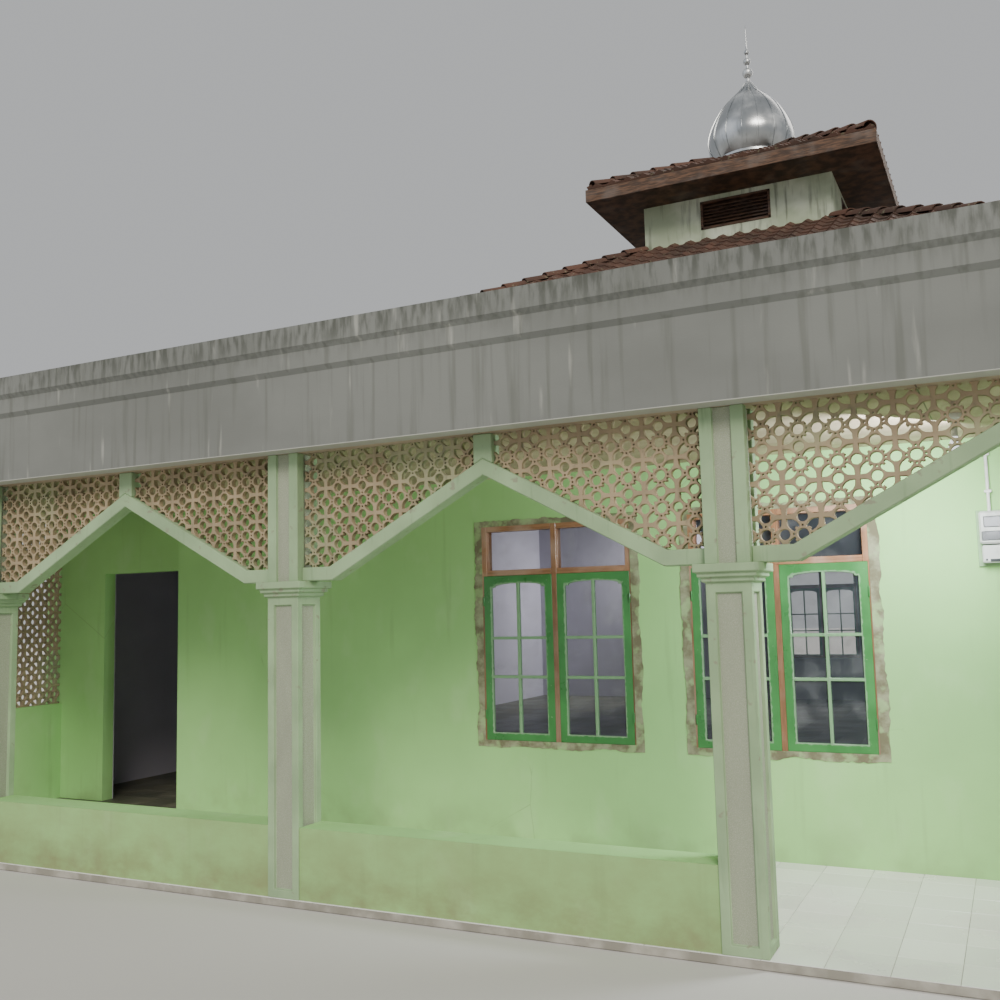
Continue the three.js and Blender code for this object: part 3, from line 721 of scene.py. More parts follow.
def shaft_shape():
    """The shaft with strips sunk in its faces, and a capital of two fillets and an abacus."""
    steps = [SHAFT_TOP, SHAFT_TOP + FILLET_HEIGHT, SHAFT_TOP + 2 * FILLET_HEIGHT, CAPITAL_TOP]
    profile = [(0, FLOOR_TOP + CLEAR), (SHAFT_HALF, FLOOR_TOP + CLEAR)]
    half = SHAFT_HALF
    for z0, z1 in zip(steps, steps[1:]):
        profile += [(half, z0), (half + FILLET_JUT, z0 + 0.006), (half + FILLET_JUT, z1 - 0.004)]
        half += FILLET_JUT
    profile += [(half, CAPITAL_TOP), (0, CAPITAL_TOP)]
    shaft = turned(squared(profile), 4)
    sides = [f for f in shaft.faces if abs(f.normal.z) < 0.1 and f.calc_area() > 0.3]
    bmesh.ops.inset_individual(shaft, faces=sides, thickness=BORDER, depth=0.0)
    bmesh.ops.inset_individual(shaft, faces=sides, thickness=STRIP_SLANT, depth=-STRIP_DEPTH)
    return shaft


def post_section():
    """A square with a strip sunk in each side, a quarter at a time."""
    half, inner, deep = SHAFT_HALF, SHAFT_HALF - BORDER, SHAFT_HALF - STRIP_DEPTH
    quarter = [(half, inner), (half, half), (inner, half), (inner, deep), (-inner, deep)]
    section = []
    for _ in range(4):
        section += quarter
        quarter = [(-z, x) for x, z in quarter]
    return section


def column_shape(centre_x, centre_y):
    """The shaft and the upper post, with grit in their strips."""
    post = plate(post_section(), [], CAPITAL_TOP, SLAB_BOTTOM - CLEAR)
    move(post, Matrix.Rotation(math.pi / 2, 4, "X"))
    column = joined([shaft_shape(), post])
    soften(column, COLUMN_BEVEL)
    sunk = SHAFT_HALF - STRIP_DEPTH + 0.002
    for face in column.faces:
        out = face.calc_center_median() @ face.normal
        if abs(face.normal.z) < 0.1 and out < sunk and face.calc_area() > 0.05:
            face.material_index = 1
    return slide(column, centre_x, centre_y, 0)


class MOSQUE_OT_columns(bpy.types.Operator):
    """Six square columns with sunken grit strips and stepped capitals"""

    bl_idname = "mosque.columns"
    bl_label = "Columns"

    def execute(self, context):
        for k in range(1, 7):
            low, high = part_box(f"column_{k}")
            shape = column_shape((low.x + high.x) / 2, (low.y + high.y) / 2)
            materials = [surface(painted_cement), surface(washed_grit)]
            piece(f"column_{k}_dressed", shape, materials, [f"column_{k}"])
        return {"FINISHED"}


# Arch bands and perforated screens

BAND_WIDTH = 0.086
ARCH_FOOT = 0.235
ARCH_APEX = 2.6
ARCH_BEVEL = 0.005
POST_HALF = 0.061
SCREEN_GAP = 0.001
SCREEN_BEVEL = 0.0022
EYE_DROP = 0.148  # from the slab's underside to the first row of eyes
EYE_IN_LEFT = 0.070  # from a bay's left edge to its first eye
EYE_IN_RIGHT = 0.062
EYE_IN_END = 0.06
BLOCK = 0.187  # the repeat that the flower's sizes below are drawn for
EYE = 0.030
ROUND_HOLE = 0.029
DOT = 0.0065
DOT_OUT = 0.0455


def flower():
    """The holes of one repeat about its middle: a round eye, four small dots, four leaves whose inner ends
    turn round a tooth, and half way to the next flower a round hole."""
    half_leaf = [(0.082, 0.082), (0.0795, 0.05), (0.0675, 0.031), (0.047, 0.0155)]
    half_leaf += [(0.0384, 0.0171), (0.0344, 0.0241), (0.0415, 0.0313)]
    leaf = half_leaf + [(z, x) for x, z in reversed(half_leaf[1:])]
    holes = [ring(0, 0, EYE, 16), ring(BLOCK / 2, 0, ROUND_HOLE, 14), ring(0, BLOCK / 2, ROUND_HOLE, 14)]
    holes += [ring(x, z, DOT, 6) for x, z in ((DOT_OUT, 0), (-DOT_OUT, 0), (0, DOT_OUT), (0, -DOT_OUT))]
    holes += [[(x * sx, z * sz) for x, z in leaf] for sx in (-1, 1) for sz in (-1, 1)]
    return holes


def perforated(x0, x1, z0, z1, eye_x, eye_z, bevel=0.0):
    """A flat panel of cast blocks over x0..x1 and z0..z1, with the eye of one flower at (eye_x, eye_z)."""
    pitch, rise = measures().screen_pitch, measures().screen_rise
    margin = 0.7 * pitch
    columns = range(math.floor((x0 - eye_x) / pitch) - 1, math.ceil((x1 - eye_x) / pitch) + 2)
    rows = range(math.floor((z0 - eye_z) / rise) - 1, math.ceil((z1 - eye_z) / rise) + 2)
    loops = []
    for i, j, hole in product(columns, rows, flower()):
        placed = [(eye_x + (i + x / BLOCK) * pitch, eye_z + (j + z / BLOCK) * rise) for x, z in hole]
        if any(x0 < x < x1 and z0 < z < z1 for x, z in placed):
            loops.append(placed)
    sheet = rectangle(x0 - margin, x1 + margin, z0 - margin, z1 + margin)
    panel = plate(sheet, loops, -SCREEN_DEPTH / 2, SCREEN_DEPTH / 2, bevel)
    trim(panel, (x0, 0, 0), (-1, 0, 0))
    trim(panel, (x1, 0, 0), (1, 0, 0))
    trim(panel, (0, 0, z0), (0, 0, -1))
    trim(panel, (0, 0, z1), (0, 0, 1))
    return panel


def arch_lines(k):
    """Where the band of bay k runs, from the frame's own band. Its foot is level, rise is its upright
    thickness on the slope, and turn is how far in its top edge starts to climb."""
    low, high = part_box(f"arch_band_{k}")
    middle = (low.x + high.x) / 2
    foot = min(ARCH_FOOT, (high.x - low.x) / 5)
    slope = (ARCH_APEX - low.z) / (middle - low.x - foot)
    rise = BAND_WIDTH * math.hypot(1, slope)
    turn = foot - (rise - BAND_WIDTH) / slope
    return SimpleNamespace(low=low, high=high, middle=middle, foot=foot, slope=slope, rise=rise, turn=turn)


def band_shape(k):
    arch = arch_lines(k)
    left, right, bottom = arch.low.x, arch.high.x, arch.low.z
    top = bottom + BAND_WIDTH
    points = [(left, bottom), (left + arch.foot, bottom), (arch.middle, ARCH_APEX)]
    points += [(right - arch.foot, bottom), (right, bottom)]
    points += [(right, top), (right - arch.turn, top), (arch.middle, ARCH_APEX + arch.rise)]
    points += [(left + arch.turn, top), (left, top)]
    return plate(points, [], arch.low.y, arch.high.y, ARCH_BEVEL)


def screen_shape(k):
    """Both perforated panels of a bay, cut along its band, and the king post between them."""
    arch = arch_lines(k)
    low, high = arch.low, arch.high
    foot = low.z + BAND_WIDTH + SCREEN_GAP
    peak = ARCH_APEX + arch.rise + SCREEN_GAP
    top = SLAB_BOTTOM - CLEAR
    post_left, post_right = arch.middle - POST_HALF, arch.middle + POST_HALF
    parts = []
    for side, x0, x1, eye_x in (
        (-1, low.x, post_left, low.x + EYE_IN_LEFT),
        (1, post_right, high.x, high.x - EYE_IN_RIGHT),
    ):
        panel = perforated(x0, x1, foot, top, eye_x, SLAB_BOTTOM - EYE_DROP, SCREEN_BEVEL)
        trim(panel, (arch.middle, 0, peak), (-side * arch.slope, 0, -1))
        parts.append(slide(panel, 0, (low.y + high.y) / 2, 0))
    shoulder = peak - arch.slope * POST_HALF
    post = [(post_left, shoulder), (arch.middle, peak), (post_right, shoulder)]
    post += [(post_right, top), (post_left, top)]
    parts.append(paint(plate(post, [], low.y, high.y, ARCH_BEVEL), 1))
    return joined(parts)


class MOSQUE_OT_arches(bpy.types.Operator):
    """Pointed arch bands, king posts and the perforated screens over the five bays"""

    bl_idname = "mosque.arches"
    bl_label = "Arches and screens"

    def execute(self, context):
        paint_only, cast = [surface(painted_cement)], [surface(cast_cement), surface(painted_cement)]
        for k in range(1, 6):
            band, screen = f"arch_band_{k}", f"arch_screen_{k}"
            piece(f"{band}_dressed", band_shape(k), paint_only, [band])
            piece(f"{screen}_dressed", screen_shape(k), cast, [screen])
        return {"FINISHED"}


class MOSQUE_OT_end_screens(bpy.types.Operator):
    """Perforated panels that close the two ends of the verandah over their low walls"""

    bl_idname = "mosque.end_screens"
    bl_label = "End screens"

    def execute(self, context):
        for name in ("end_screen_left", "end_screen_right"):
            low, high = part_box(name)
            panel = perforated(low.y, high.y, low.z, high.z, low.y + EYE_IN_END, high.z - EYE_DROP)
            turn = Matrix.Rotation(math.pi / 2, 4, "Z")
            move(panel, Matrix.Translation(((low.x + high.x) / 2, 0, 0)) @ turn)
            piece(f"{name}_dressed", panel, [surface(cast_cement)], [name])
        return {"FINISHED"}


# Floor

JOINT = 0.003
TILE_THICKNESS = 0.004
TILE_EDGE = 0.0012  # height of a tile's bevelled edge
TILE_EDGE_WIDTH = 0.002
SCREED_GAP = 0.0002
SCREED_BEVEL = 0.004


def floor_tile_shape(side):
    tile = bmesh.new()
    bmesh.ops.create_grid(tile, x_segments=1, y_segments=1, size=side / 2)
    raised = bmesh.ops.extrude_face_region(tile, geom=tile.faces[:])
    bmesh.ops.translate(tile, vec=(0, 0, TILE_THICKNESS - TILE_EDGE), verts=verts_of(raised))
    bmesh.ops.recalc_face_normals(tile, faces=tile.faces)
    top = [f for f in tile.faces if f.normal.z > 0.9]
    bmesh.ops.inset_individual(tile, faces=top, thickness=TILE_EDGE_WIDTH, depth=TILE_EDGE)
    bmesh.ops.translate(tile, vec=(side / 2, side / 2, 0), verts=tile.verts)
    return tile


class MOSQUE_OT_floor(bpy.types.Operator):
    """The floor slab and its glazed tiles"""

    bl_idname = "mosque.floor"
    bl_label = "Floor"

    def execute(self, context):
        low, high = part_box("floor_slab")
        step = measures().floor_tile + JOINT
        across = 2 * math.ceil(high.x / step)
        along = math.ceil((high.y - low.y) / step)
        tiles = floor_tile_shape(measures().floor_tile)
        repeat(tiles, across, (step, 0, 0))
        repeat(tiles, along, (0, step, 0))
        toned(tiles, step, step)
        painted_lit_underside = high.z - TILE_THICKNESS
        slide(tiles, -across / 2 * step, low.y, painted_lit_underside)
        trim(tiles, (low.x, 0, 0), (-1, 0, 0))
        trim(tiles, (high.x, 0, 0), (1, 0, 0))
        trim(tiles, (0, high.y, 0), (0, 1, 0))
        slab = paint(board(low, (high.x, high.y, painted_lit_underside - SCREED_GAP), SCREED_BEVEL), 1)
        materials = [surface(glazed_ceramic), surface(cement_screed)]
        piece("floor_tiles", joined([tiles, slab]), materials, ["floor_slab"])
        return {"FINISHED"}


# Walls and fascia

PLASTERED = ("front_wall", "rear_wall", "seat_wall_left", "seat_wall_middle")
PLASTERED_PAIRS = ("end_wall", "doorway_pier", "doorway_lintel", "side_wall")


class MOSQUE_OT_walls(bpy.types.Operator):
    """Paint on the walls, the fascia and the verandah's flat roof"""

    bl_idname = "mosque.walls"
    bl_label = "Walls and fascia"

    def execute(self, context):
        pairs = [f"{part}_{side}" for part in PLASTERED_PAIRS for side in ("left", "right")]
        for name in (*PLASTERED, *pairs):
            coat(name, surface(limewashed_plaster))
        coat("parapet", surface(weathered_cement_paint))
        coat("verandah_roof_slab", surface(ceiling_and_deck))
        coat("tier_walls", surface(streaked_limewash))
        return {"FINISHED"}


# Windows. Each is drawn about x = 0 with its outer face at y = 0 and moved to its wall. All are alike.

WINDOW_LOW, WINDOW_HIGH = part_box("front_window_1_frame")
FRAME_HALF = (WINDOW_HIGH.x - WINDOW_LOW.x) / 2
FRAME_BOTTOM, FRAME_TOP = WINDOW_LOW.z, WINDOW_HIGH.z
FRAME_FACE = 0.045
FRAME_DEPTH = 0.1
FRAME_INNER = FRAME_HALF - FRAME_FACE
MULLION_HALF = FRAME_FACE / 2
OPENINGS = ((-FRAME_INNER, -MULLION_HALF), (MULLION_HALF, FRAME_INNER))
LEVEL_SETBACK = 0.0015  # how far the level members lie behind the uprights
CHEEK_SETBACK = 0.0025  # how far the mullion's sides lie in between the leaves
CHEEK_BEVEL = 0.002
LEAF = 0.034
LEAF_LAP = 0.03
LEAF_BEVEL = 0.0028
LEAF_PLAY = 0.002
LEAF_BOTTOM = FRAME_BOTTOM + LEAF_PLAY
LEAF_TOP = 2.07
LEAF_OUTER = FRAME_INNER + LEAF_LAP
LEAF_INNER = MULLION_HALF - LEAF_PLAY
LEAF_SPANS = ((-LEAF_OUTER, -LEAF_INNER), (LEAF_INNER, LEAF_OUTER))
TRANSOM_BOTTOM = LEAF_TOP + CLEAR
STILE = 0.064
RAIL = 0.06
BAR = 0.022
BAR_LEVELS = (0.37, 0.63)
SHOULDER = 0.026
SHOULDER_DROP = 0.007
HEAD_RISE = 0.026
HEAD_STEPS = 10
UNWORN_EDGE = 0.004
BEAD_WIDTH = 0.009
BEAD_DEPTHS = (0.004, 0.012)
LEAF_GLASS = (0.0125, 0.0165)  # depth of its two faces, as the next
TRANSOM_GLASS = (0.05, 0.054)
HINGE_IN = 0.2  # from the leaf's end to the middle of a hinge
KNUCKLE_RADIUS = 0.0055
KNUCKLE_HALF = 0.035
KNUCKLE_OUT = 0.004
MORTAR_THICKNESS = 0.0035
MORTAR_WANDER = 0.016
MORTAR_BEVEL = 0.0015
MORTAR_UNDER = 0.004  # how far it runs under the frame's edge
MORTAR_STEP = 0.025  # between two points of its outline


def hidden_nodes(name, sheet):
    """A hidden window's own node, and for the first window in its wall the wall's sheet of glass too."""
    return [name, sheet] if name.endswith("_1") else [name]


def window_places():
    """Each window's name, the matrix to its wall, how the grain of its level members runs, and the nodes that
    it stands for."""
    places = []
    rear_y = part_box("rear_wall")[1].y
    for k in (1, 2):
        name = f"front_window_{k}"
        low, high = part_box(f"{name}_frame")
        nodes = [f"{name}_{part}" for part in ("frame", "leaf_left", "leaf_right", "glass")]
        places.append((name, Matrix.Translation(((low.x + high.x) / 2, HALL_Y, 0)), "level", nodes))
        name = f"rear_window_{k}"
        low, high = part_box(name)
        matrix = Matrix.Translation(((low.x + high.x) / 2, rear_y, 0)) @ Matrix.Rotation(math.pi, 4, "Z")
        places.append((name, matrix, "level", hidden_nodes(name, "rear_glass")))
        for side, sign in (("left", -1), ("right", 1)):
            name = f"side_window_{side}_{k}"
            low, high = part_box(name)
            turn = Matrix.Rotation(sign * math.pi / 2, 4, "Z")
            matrix = Matrix.Translation((sign * HALL_HALF, (low.y + high.y) / 2, 0)) @ turn
            places.append((name, matrix, "side", hidden_nodes(name, f"side_glass_{side}")))
    return places


def frame_shape():
    """Jambs, mullion, transom, head and sill, rebated for the leaves. The level members have the second
    wood."""
    split = LEAF + CLEAR
    cheek = MULLION_HALF - CHEEK_SETBACK
    uprights = []
    for x0, x1 in ((-FRAME_HALF, -FRAME_INNER), (-MULLION_HALF, MULLION_HALF), (FRAME_INNER, FRAME_HALF)):
        uprights.append(board((x0, split, FRAME_BOTTOM), (x1, FRAME_DEPTH, FRAME_TOP)))
        uprights.append(board((x0, 0, TRANSOM_BOTTOM), (x1, split, FRAME_TOP)))
    for x0, x1 in ((-FRAME_HALF, -LEAF_OUTER), (-cheek, cheek), (LEAF_OUTER, FRAME_HALF)):
        uprights.append(board((x0, 0, FRAME_BOTTOM), (x1, split, TRANSOM_BOTTOM), CHEEK_BEVEL))
    transom_top = TRANSOM_BOTTOM + FRAME_FACE
    levels = []
    for x0, x1 in OPENINGS:
        levels.append(board((x0, split, FRAME_BOTTOM), (x1, FRAME_DEPTH, FRAME_BOTTOM + FRAME_FACE)))
        levels.append(board((x0, split, LEAF_TOP - LEAF_LAP / 2), (x1, FRAME_DEPTH, transom_top)))
        levels.append(board((x0, LEVEL_SETBACK, TRANSOM_BOTTOM), (x1, split, transom_top)))
        levels.append(board((x0, LEVEL_SETBACK, FRAME_TOP - FRAME_FACE), (x1, FRAME_DEPTH, FRAME_TOP)))
    return joined([*uprights, *[paint(shape, 1) for shape in levels]])


def leaf_panes(x0, x1):
    """Outlines of a leaf's six panes. The upper two share half an ellipse as their head, with level
    shoulders."""
    low, high = LEAF_BOTTOM + RAIL, LEAF_TOP - RAIL
    bars = [low + (high - low) * share for share in BAR_LEVELS]
    middle = (x0 + x1) / 2
    reach = (x1 - x0) / 2 - STILE
    arch_half = reach - SHOULDER
    spring = high - HEAD_RISE
    last = math.acos(BAR / 2 / arch_half)
    turns = [last * k / HEAD_STEPS for k in range(HEAD_STEPS, -1, -1)]
    panes = []
    for side in (-1, 1):
        near, far = middle + side * BAR / 2, middle + side * reach
        head = [(middle + side * arch_half * math.cos(t), spring + HEAD_RISE * math.sin(t)) for t in turns]
        ledge = spring - SHOULDER_DROP
        floor = bars[1] + BAR / 2
        panes.append([(far, floor), (near, floor), *head, (head[-1][0], ledge), (far, ledge)])
        left, right = sorted((near, far))
        panes.append(rectangle(left, right, low, bars[0] - BAR / 2))
        panes.append(rectangle(left, right, bars[0] + BAR / 2, bars[1] - BAR / 2))
    return panes


def transom_panes():
    low, high = TRANSOM_BOTTOM + FRAME_FACE, FRAME_TOP - FRAME_FACE
    return [rectangle(x0, x1, low, high) for x0, x1 in OPENINGS]


def leaf_shape(x0, x1):
    return plate(rectangle(x0, x1, LEAF_BOTTOM, LEAF_TOP), leaf_panes(x0, x1), 0, LEAF, LEAF_BEVEL)


def worn_round_panes(leaves):
    """Marks the leaves' worn attribute: 0 along their outer edges and 1 along the panes."""
    layer = leaves.verts.layers.float.new("worn")
    for vert in leaves.verts:
        side = min(abs(vert.co.x - edge) for span in LEAF_SPANS for edge in span)
        vert[layer] = float(min(side, vert.co.z - LEAF_BOTTOM, LEAF_TOP - vert.co.z) > UNWORN_EDGE)
    return leaves


def bead(points):
    """A narrow strip of putty round the inside of a pane's outline."""
    bm = bmesh.new()
    bmesh.ops.contextual_create(bm, geom=outline(bm, points))
    bmesh.ops.inset_region(bm, faces=bm.faces[:], thickness=BEAD_WIDTH, use_even_offset=True)
    middle = max(bm.faces, key=lambda face: face.calc_area())
    bmesh.ops.delete(bm, geom=[middle], context="FACES_ONLY")
    thicken(bm, *BEAD_DEPTHS)
    return bm


def hinge_knuckles():
    """The knuckles of two hinges on each leaf's outer stile, painted over with the leaf."""
    narrow, tip = KNUCKLE_RADIUS - 0.001, KNUCKLE_HALF - 0.002
    parts = []
    for span in LEAF_SPANS:
        outer = max(span, key=abs)
        for z in (FRAME_BOTTOM + HINGE_IN, LEAF_TOP - HINGE_IN):
            knuckle = [(0, z - KNUCKLE_HALF), (narrow, z - KNUCKLE_HALF), (KNUCKLE_RADIUS, z - tip)]
            knuckle += [(KNUCKLE_RADIUS, z + tip), (narrow, z + KNUCKLE_HALF), (0, z + KNUCKLE_HALF)]
            parts.append(turned(knuckle, 8, (outer, -KNUCKLE_OUT)))
    return joined(parts)


def ragged(corners, seed):
    """The outline with sides that wander, a slow drift and a fine tremble that fade at the corners."""
    draw = random.Random(seed)
    points = []
    for (ax, az), (bx, bz) in zip(corners, corners[1:] + corners[:1]):
        length = math.hypot(bx - ax, bz - az)
        count = max(3, round(length / MORTAR_STEP))
        slow = [draw.uniform(-1, 1) for _ in range(count // 5 + 3)]
        for k in range(count):
            t, place = k / count, k / 5
            drift = slow[int(place)] * (1 - place % 1) + slow[int(place) + 1] * (place % 1)
            fade = min(1.0, 6 * t, 6 * (1 - t) + 0.2)
            out = MORTAR_WANDER * (0.75 * drift + draw.uniform(-0.35, 0.35)) * fade
            x, z = ax + (bx - ax) * t, az + (bz - az) * t
            points.append((x + out * (bz - az) / length, z - out * (bx - ax) / length))
    return points


def mortar_shape(seed):
    """The bed of bare mortar round a frame."""
    band = measures().mortar_band
    half = FRAME_HALF + band
    outer = ragged(rectangle(-half, half, FRAME_BOTTOM - 0.8 * band, FRAME_TOP + 0.7 * band), seed)
    inner = FRAME_HALF - MORTAR_UNDER
    hole = rectangle(-inner, inner, FRAME_BOTTOM + MORTAR_UNDER - 0.001, FRAME_TOP - MORTAR_UNDER)
    return plate(outer, [hole], -MORTAR_THICKNESS, 0.0, MORTAR_BEVEL)


class MOSQUE_OT_windows(bpy.types.Operator):
    """Wooden casement windows with leaves, putty, panes, hinges and the bare mortar round them"""

    bl_idname = "mosque.windows"
    bl_label = "Windows"

    def execute(self, context):
        panes = [points for span in LEAF_SPANS for points in leaf_panes(*span)]
        enamel, putty = surface(gloss_enamel), surface(glazing_putty)
        for number, (name, matrix, grain, nodes) in enumerate(window_places()):
            woods = [surface(varnished_meranti, "upright"), surface(varnished_meranti, grain)]
            piece(f"{name}_frame_dressed", move(frame_shape(), matrix), woods, nodes)
            leaves = worn_round_panes(joined(leaf_shape(*span) for span in LEAF_SPANS))
            puttied = joined([leaves, *[paint(bead(points), 1) for points in panes]])
            piece(f"{name}_leaves", move(puttied, matrix), [enamel, putty])
            glass = [plate(points, [], *LEAF_GLASS) for points in panes]
            glass += [plate(points, [], *TRANSOM_GLASS) for points in transom_panes()]
            piece(f"{name}_panes", move(joined(glass), matrix), [surface(float_glass)])
            piece(f"{name}_hinges", move(hinge_knuckles(), matrix), [enamel])
            mortar = move(mortar_shape(number + 1), matrix)
            piece(f"{name}_mortar", mortar, [surface(bare_mortar)])
        return {"FINISHED"}


# Roof

TILE_LIFT = 0.018  # how much a tile's lower end stands over the next
TILE_ROLL = 0.034
TILE_TOP = 0.022  # the rolls' crests over the slope's plane
TILE_BASE = 0.034
TILE_LAP = 0.06
ROLL_MIDDLE = 0.72  # of a tile's width, as the next
ROLL_WIDTH = 0.56
FIRST_COURSE = 0.012  # up the slope from the eave
BOARDING_FOOT = 0.03
BOARDING_UNDERSIDE = 0.088
EAVE_BOARD = 0.025
EAVE_BOARD_DROP = 0.04
ROOF_EAVE_DEPTH = 0.1
TIER_EAVE_DEPTH = 0.2
CAP_RADIUS = 0.095
CAP_LENGTH = 0.33
CAP_LAP = 0.05
CAP_THICKNESS = 0.013
CAP_TAPER = 0.16  # how much narrower its upper end is
CAP_HEIGHT = 0.8  # of its radius
CAP_DIP = 0.02
CAP_BED = 0.012
CAP_TONE_GRID = 0.2
CAP_START = 0.14  # up the hip from the eave
TIER_CAP_START = 0.1


def tile_shape(width, length):
    """One pressed tile with a flat pan and a raised roll, its lower end at y = 0."""
    tile = bmesh.new()
    bmesh.ops.create_grid(tile, x_segments=7, y_segments=1, size=0.5)
    bmesh.ops.translate(tile, vec=(0.5, 0.5, 0), verts=tile.verts)
    bmesh.ops.scale(tile, vec=(width, length, 1), verts=tile.verts)
    sunk = bmesh.ops.extrude_face_region(tile, geom=tile.faces[:])
    bottom = set(verts_of(sunk))
    for vert in tile.verts:
        if vert in bottom:
            vert.co.z = -TILE_BASE
            continue
        across = (vert.co.x / width - ROLL_MIDDLE) / ROLL_WIDTH
        roll = math.cos(math.pi * across) ** 2 if abs(across) < 0.5 else 0.0
        vert.co.z = TILE_TOP - TILE_ROLL * (1 - roll) - TILE_LIFT * vert.co.y / length
    bmesh.ops.recalc_face_normals(tile, faces=tile.faces)
    return tile


def tiled_slope(eave_half, head_half, eave_z, head_z, board_depth):
    """A quarter of a hipped roof about the middle of the hall, facing the front: tiles, boarding and an eave
    board."""
    run, climb = eave_half - head_half, head_z - eave_z
    length = math.hypot(run, climb)
    courses = round(length / measures().tile_gauge)
    gauge = length / courses
    columns = math.ceil(2 * eave_half / measures().tile_width)
    width = 2 * eave_half / columns
    tiles = tile_shape(width, gauge + TILE_LAP)
    repeat(tiles, columns, (width, 0, 0))
    repeat(tiles, courses, (0, gauge, 0))
    toned(tiles, width, gauge, (0.0, TILE_LAP / 2))
    slide(tiles, -eave_half, FIRST_COURSE, 0)
    boarding_low = (-eave_half, BOARDING_FOOT, -BOARDING_UNDERSIDE)
    boarding = board(boarding_low, (eave_half, length, -TILE_BASE - CLEAR), 0)
    slope = joined([tiles, paint(boarding, 1)])
    lean = Matrix.Rotation(math.atan2(climb, run), 4, "X")
    move(slope, Matrix.Translation((0, -eave_half, eave_z)) @ lean)
    edge_low = (-eave_half, -eave_half, eave_z - board_depth)
    edge = board(edge_low, (eave_half, -eave_half + EAVE_BOARD, eave_z - EAVE_BOARD_DROP))
    slope = joined([slope, paint(edge, 1)])
    for side in (-1, 1):
        trim(slope, (0, -0.0015, 0), (side, 1, 0))
    trim(slope, (0, -head_half - 0.001, 0), (0, 1, 0))
    return slope


def hip_cap():
    """A half round tile that narrows and dips towards its upper end, its lower end at y = 0."""
    cap = bmesh.new()
    cap.edges.new([cap.verts.new((CAP_RADIUS, y, 0)) for y in (0, CAP_LENGTH)])
    bmesh.ops.spin(
        cap,
        geom=cap.verts[:] + cap.edges[:],
        cent=(0, 0, 0),
        axis=(0, 1, 0),
        angle=-math.pi,
        steps=8,
        use_merge=False,
        use_normal_flip=False,
    )
    bmesh.ops.recalc_face_normals(cap, faces=cap.faces)
    bmesh.ops.solidify(cap, geom=cap.faces[:], thickness=CAP_THICKNESS)
    bmesh.ops.recalc_face_normals(cap, faces=cap.faces)
    for vert in cap.verts:
        along = vert.co.y / CAP_LENGTH
        taper = 1 - CAP_TAPER * along
        vert.co.x *= taper
        vert.co.z = vert.co.z * CAP_HEIGHT * taper - CAP_DIP * along
    return cap


def hip_caps(eave_half, head_half, eave_z, head_z, start):
    """Half round tiles bedded over the four hips about the middle of the hall, from start metres up."""
    foot = Vector((eave_half, -eave_half, eave_z))
    climb = Vector((head_half, -head_half, head_z)) - foot
    up = climb.normalized()
    across = up.cross(Vector((0, 0, 1))).normalized()
    normal = across.cross(up)
    lying = Matrix((across, up, normal)).transposed().to_4x4()
    count = int((climb.length - start) / (CAP_LENGTH - CAP_LAP))
    step = (climb.length - start - CAP_LENGTH) / max(1, count - 1)
    matrices = []
    for turn, k in product(range(4), range(count)):
        at = foot + up * (start + k * step) - normal * CAP_BED
        matrices.append(Matrix.Rotation(turn * math.pi / 2, 4, "Z") @ Matrix.Translation(at) @ lying)
    caps = toned(joined(copies(hip_cap(), matrices)), CAP_TONE_GRID, CAP_TONE_GRID)
    return slide(caps, 0, HALL_MIDDLE_Y, 0)


class MOSQUE_OT_roof(bpy.types.Operator):
    """The four tiled slopes of the hipped roof and their hip tiles"""

    bl_idname = "mosque.roof"
    bl_label = "Hipped roof"

    def execute(self, context):
        low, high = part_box("roof_slope_front")
        lines = high.x, HALL_MIDDLE_Y - high.y, low.z + ROOF_EAVE_DEPTH, high.z
        materials = [surface(aged_clay_tile), surface(oiled_hardwood)]
        slopes = copies(tiled_slope(*lines, ROOF_EAVE_DEPTH), round_hall())
        for side, slope in zip(("front", "right", "rear", "left"), slopes):
            piece(f"roof_slope_{side}_tiles", slope, materials, [f"roof_slope_{side}"])
        piece("hip_tiles", hip_caps(*lines, CAP_START), materials[:1])
        return {"FINISHED"}


# Raised tier

TIER_PEAK_HALF = 0.43
VENT_HALF = 0.43
VENT_LOW = 6.44
VENT_HIGH = 6.8
VENT_FRAME = 0.03
VENT_DEPTH = 0.12
VENT_JUT = 0.008
SLATS = 7
SLAT_HALF = (VENT_HALF - 0.028, 0.038, 0.005)
SLAT_TILT = math.radians(38)
SLAT_IN = 0.05


def tier_core(half, low, high, eave_top):
    """The timber block under the tier's tiles, with its soffit."""
    body = [(0, low), (half - 0.026, low), (half - 0.026, eave_top - 0.06), (TIER_PEAK_HALF, high - 0.1)]
    body += [(TIER_PEAK_HALF - 0.001, high), (0, high)]
    return turned(squared(body), 4, (0, HALL_MIDDLE_Y))


def vent_shape(wall_half):
    """One vent in the tier's front, about the middle of the hall: a frame and tilted slats."""
    outer, inner = -wall_half - VENT_JUT, -wall_half + VENT_DEPTH
    parts = []
    for x0, x1 in ((-VENT_HALF, -VENT_HALF + VENT_FRAME), (VENT_HALF - VENT_FRAME, VENT_HALF)):
        parts.append(board((x0, outer, VENT_LOW), (x1, inner, VENT_HIGH)))
    for z0, z1 in ((VENT_LOW, VENT_LOW + VENT_FRAME), (VENT_HIGH - VENT_FRAME, VENT_HIGH)):
        parts.append(board((-VENT_HALF, outer, z0), (VENT_HALF, inner, z1)))
    clear_height = VENT_HIGH - VENT_LOW - 2 * VENT_FRAME
    for k in range(SLATS):
        z = VENT_LOW + VENT_FRAME + clear_height * (k + 0.5) / SLATS
        slat = board(-Vector(SLAT_HALF), SLAT_HALF, 0.002)
        move(slat, Matrix.Rotation(SLAT_TILT, 4, "X"))
        parts.append(slide(slat, 0, -wall_half + SLAT_IN, z))
    return joined(parts)


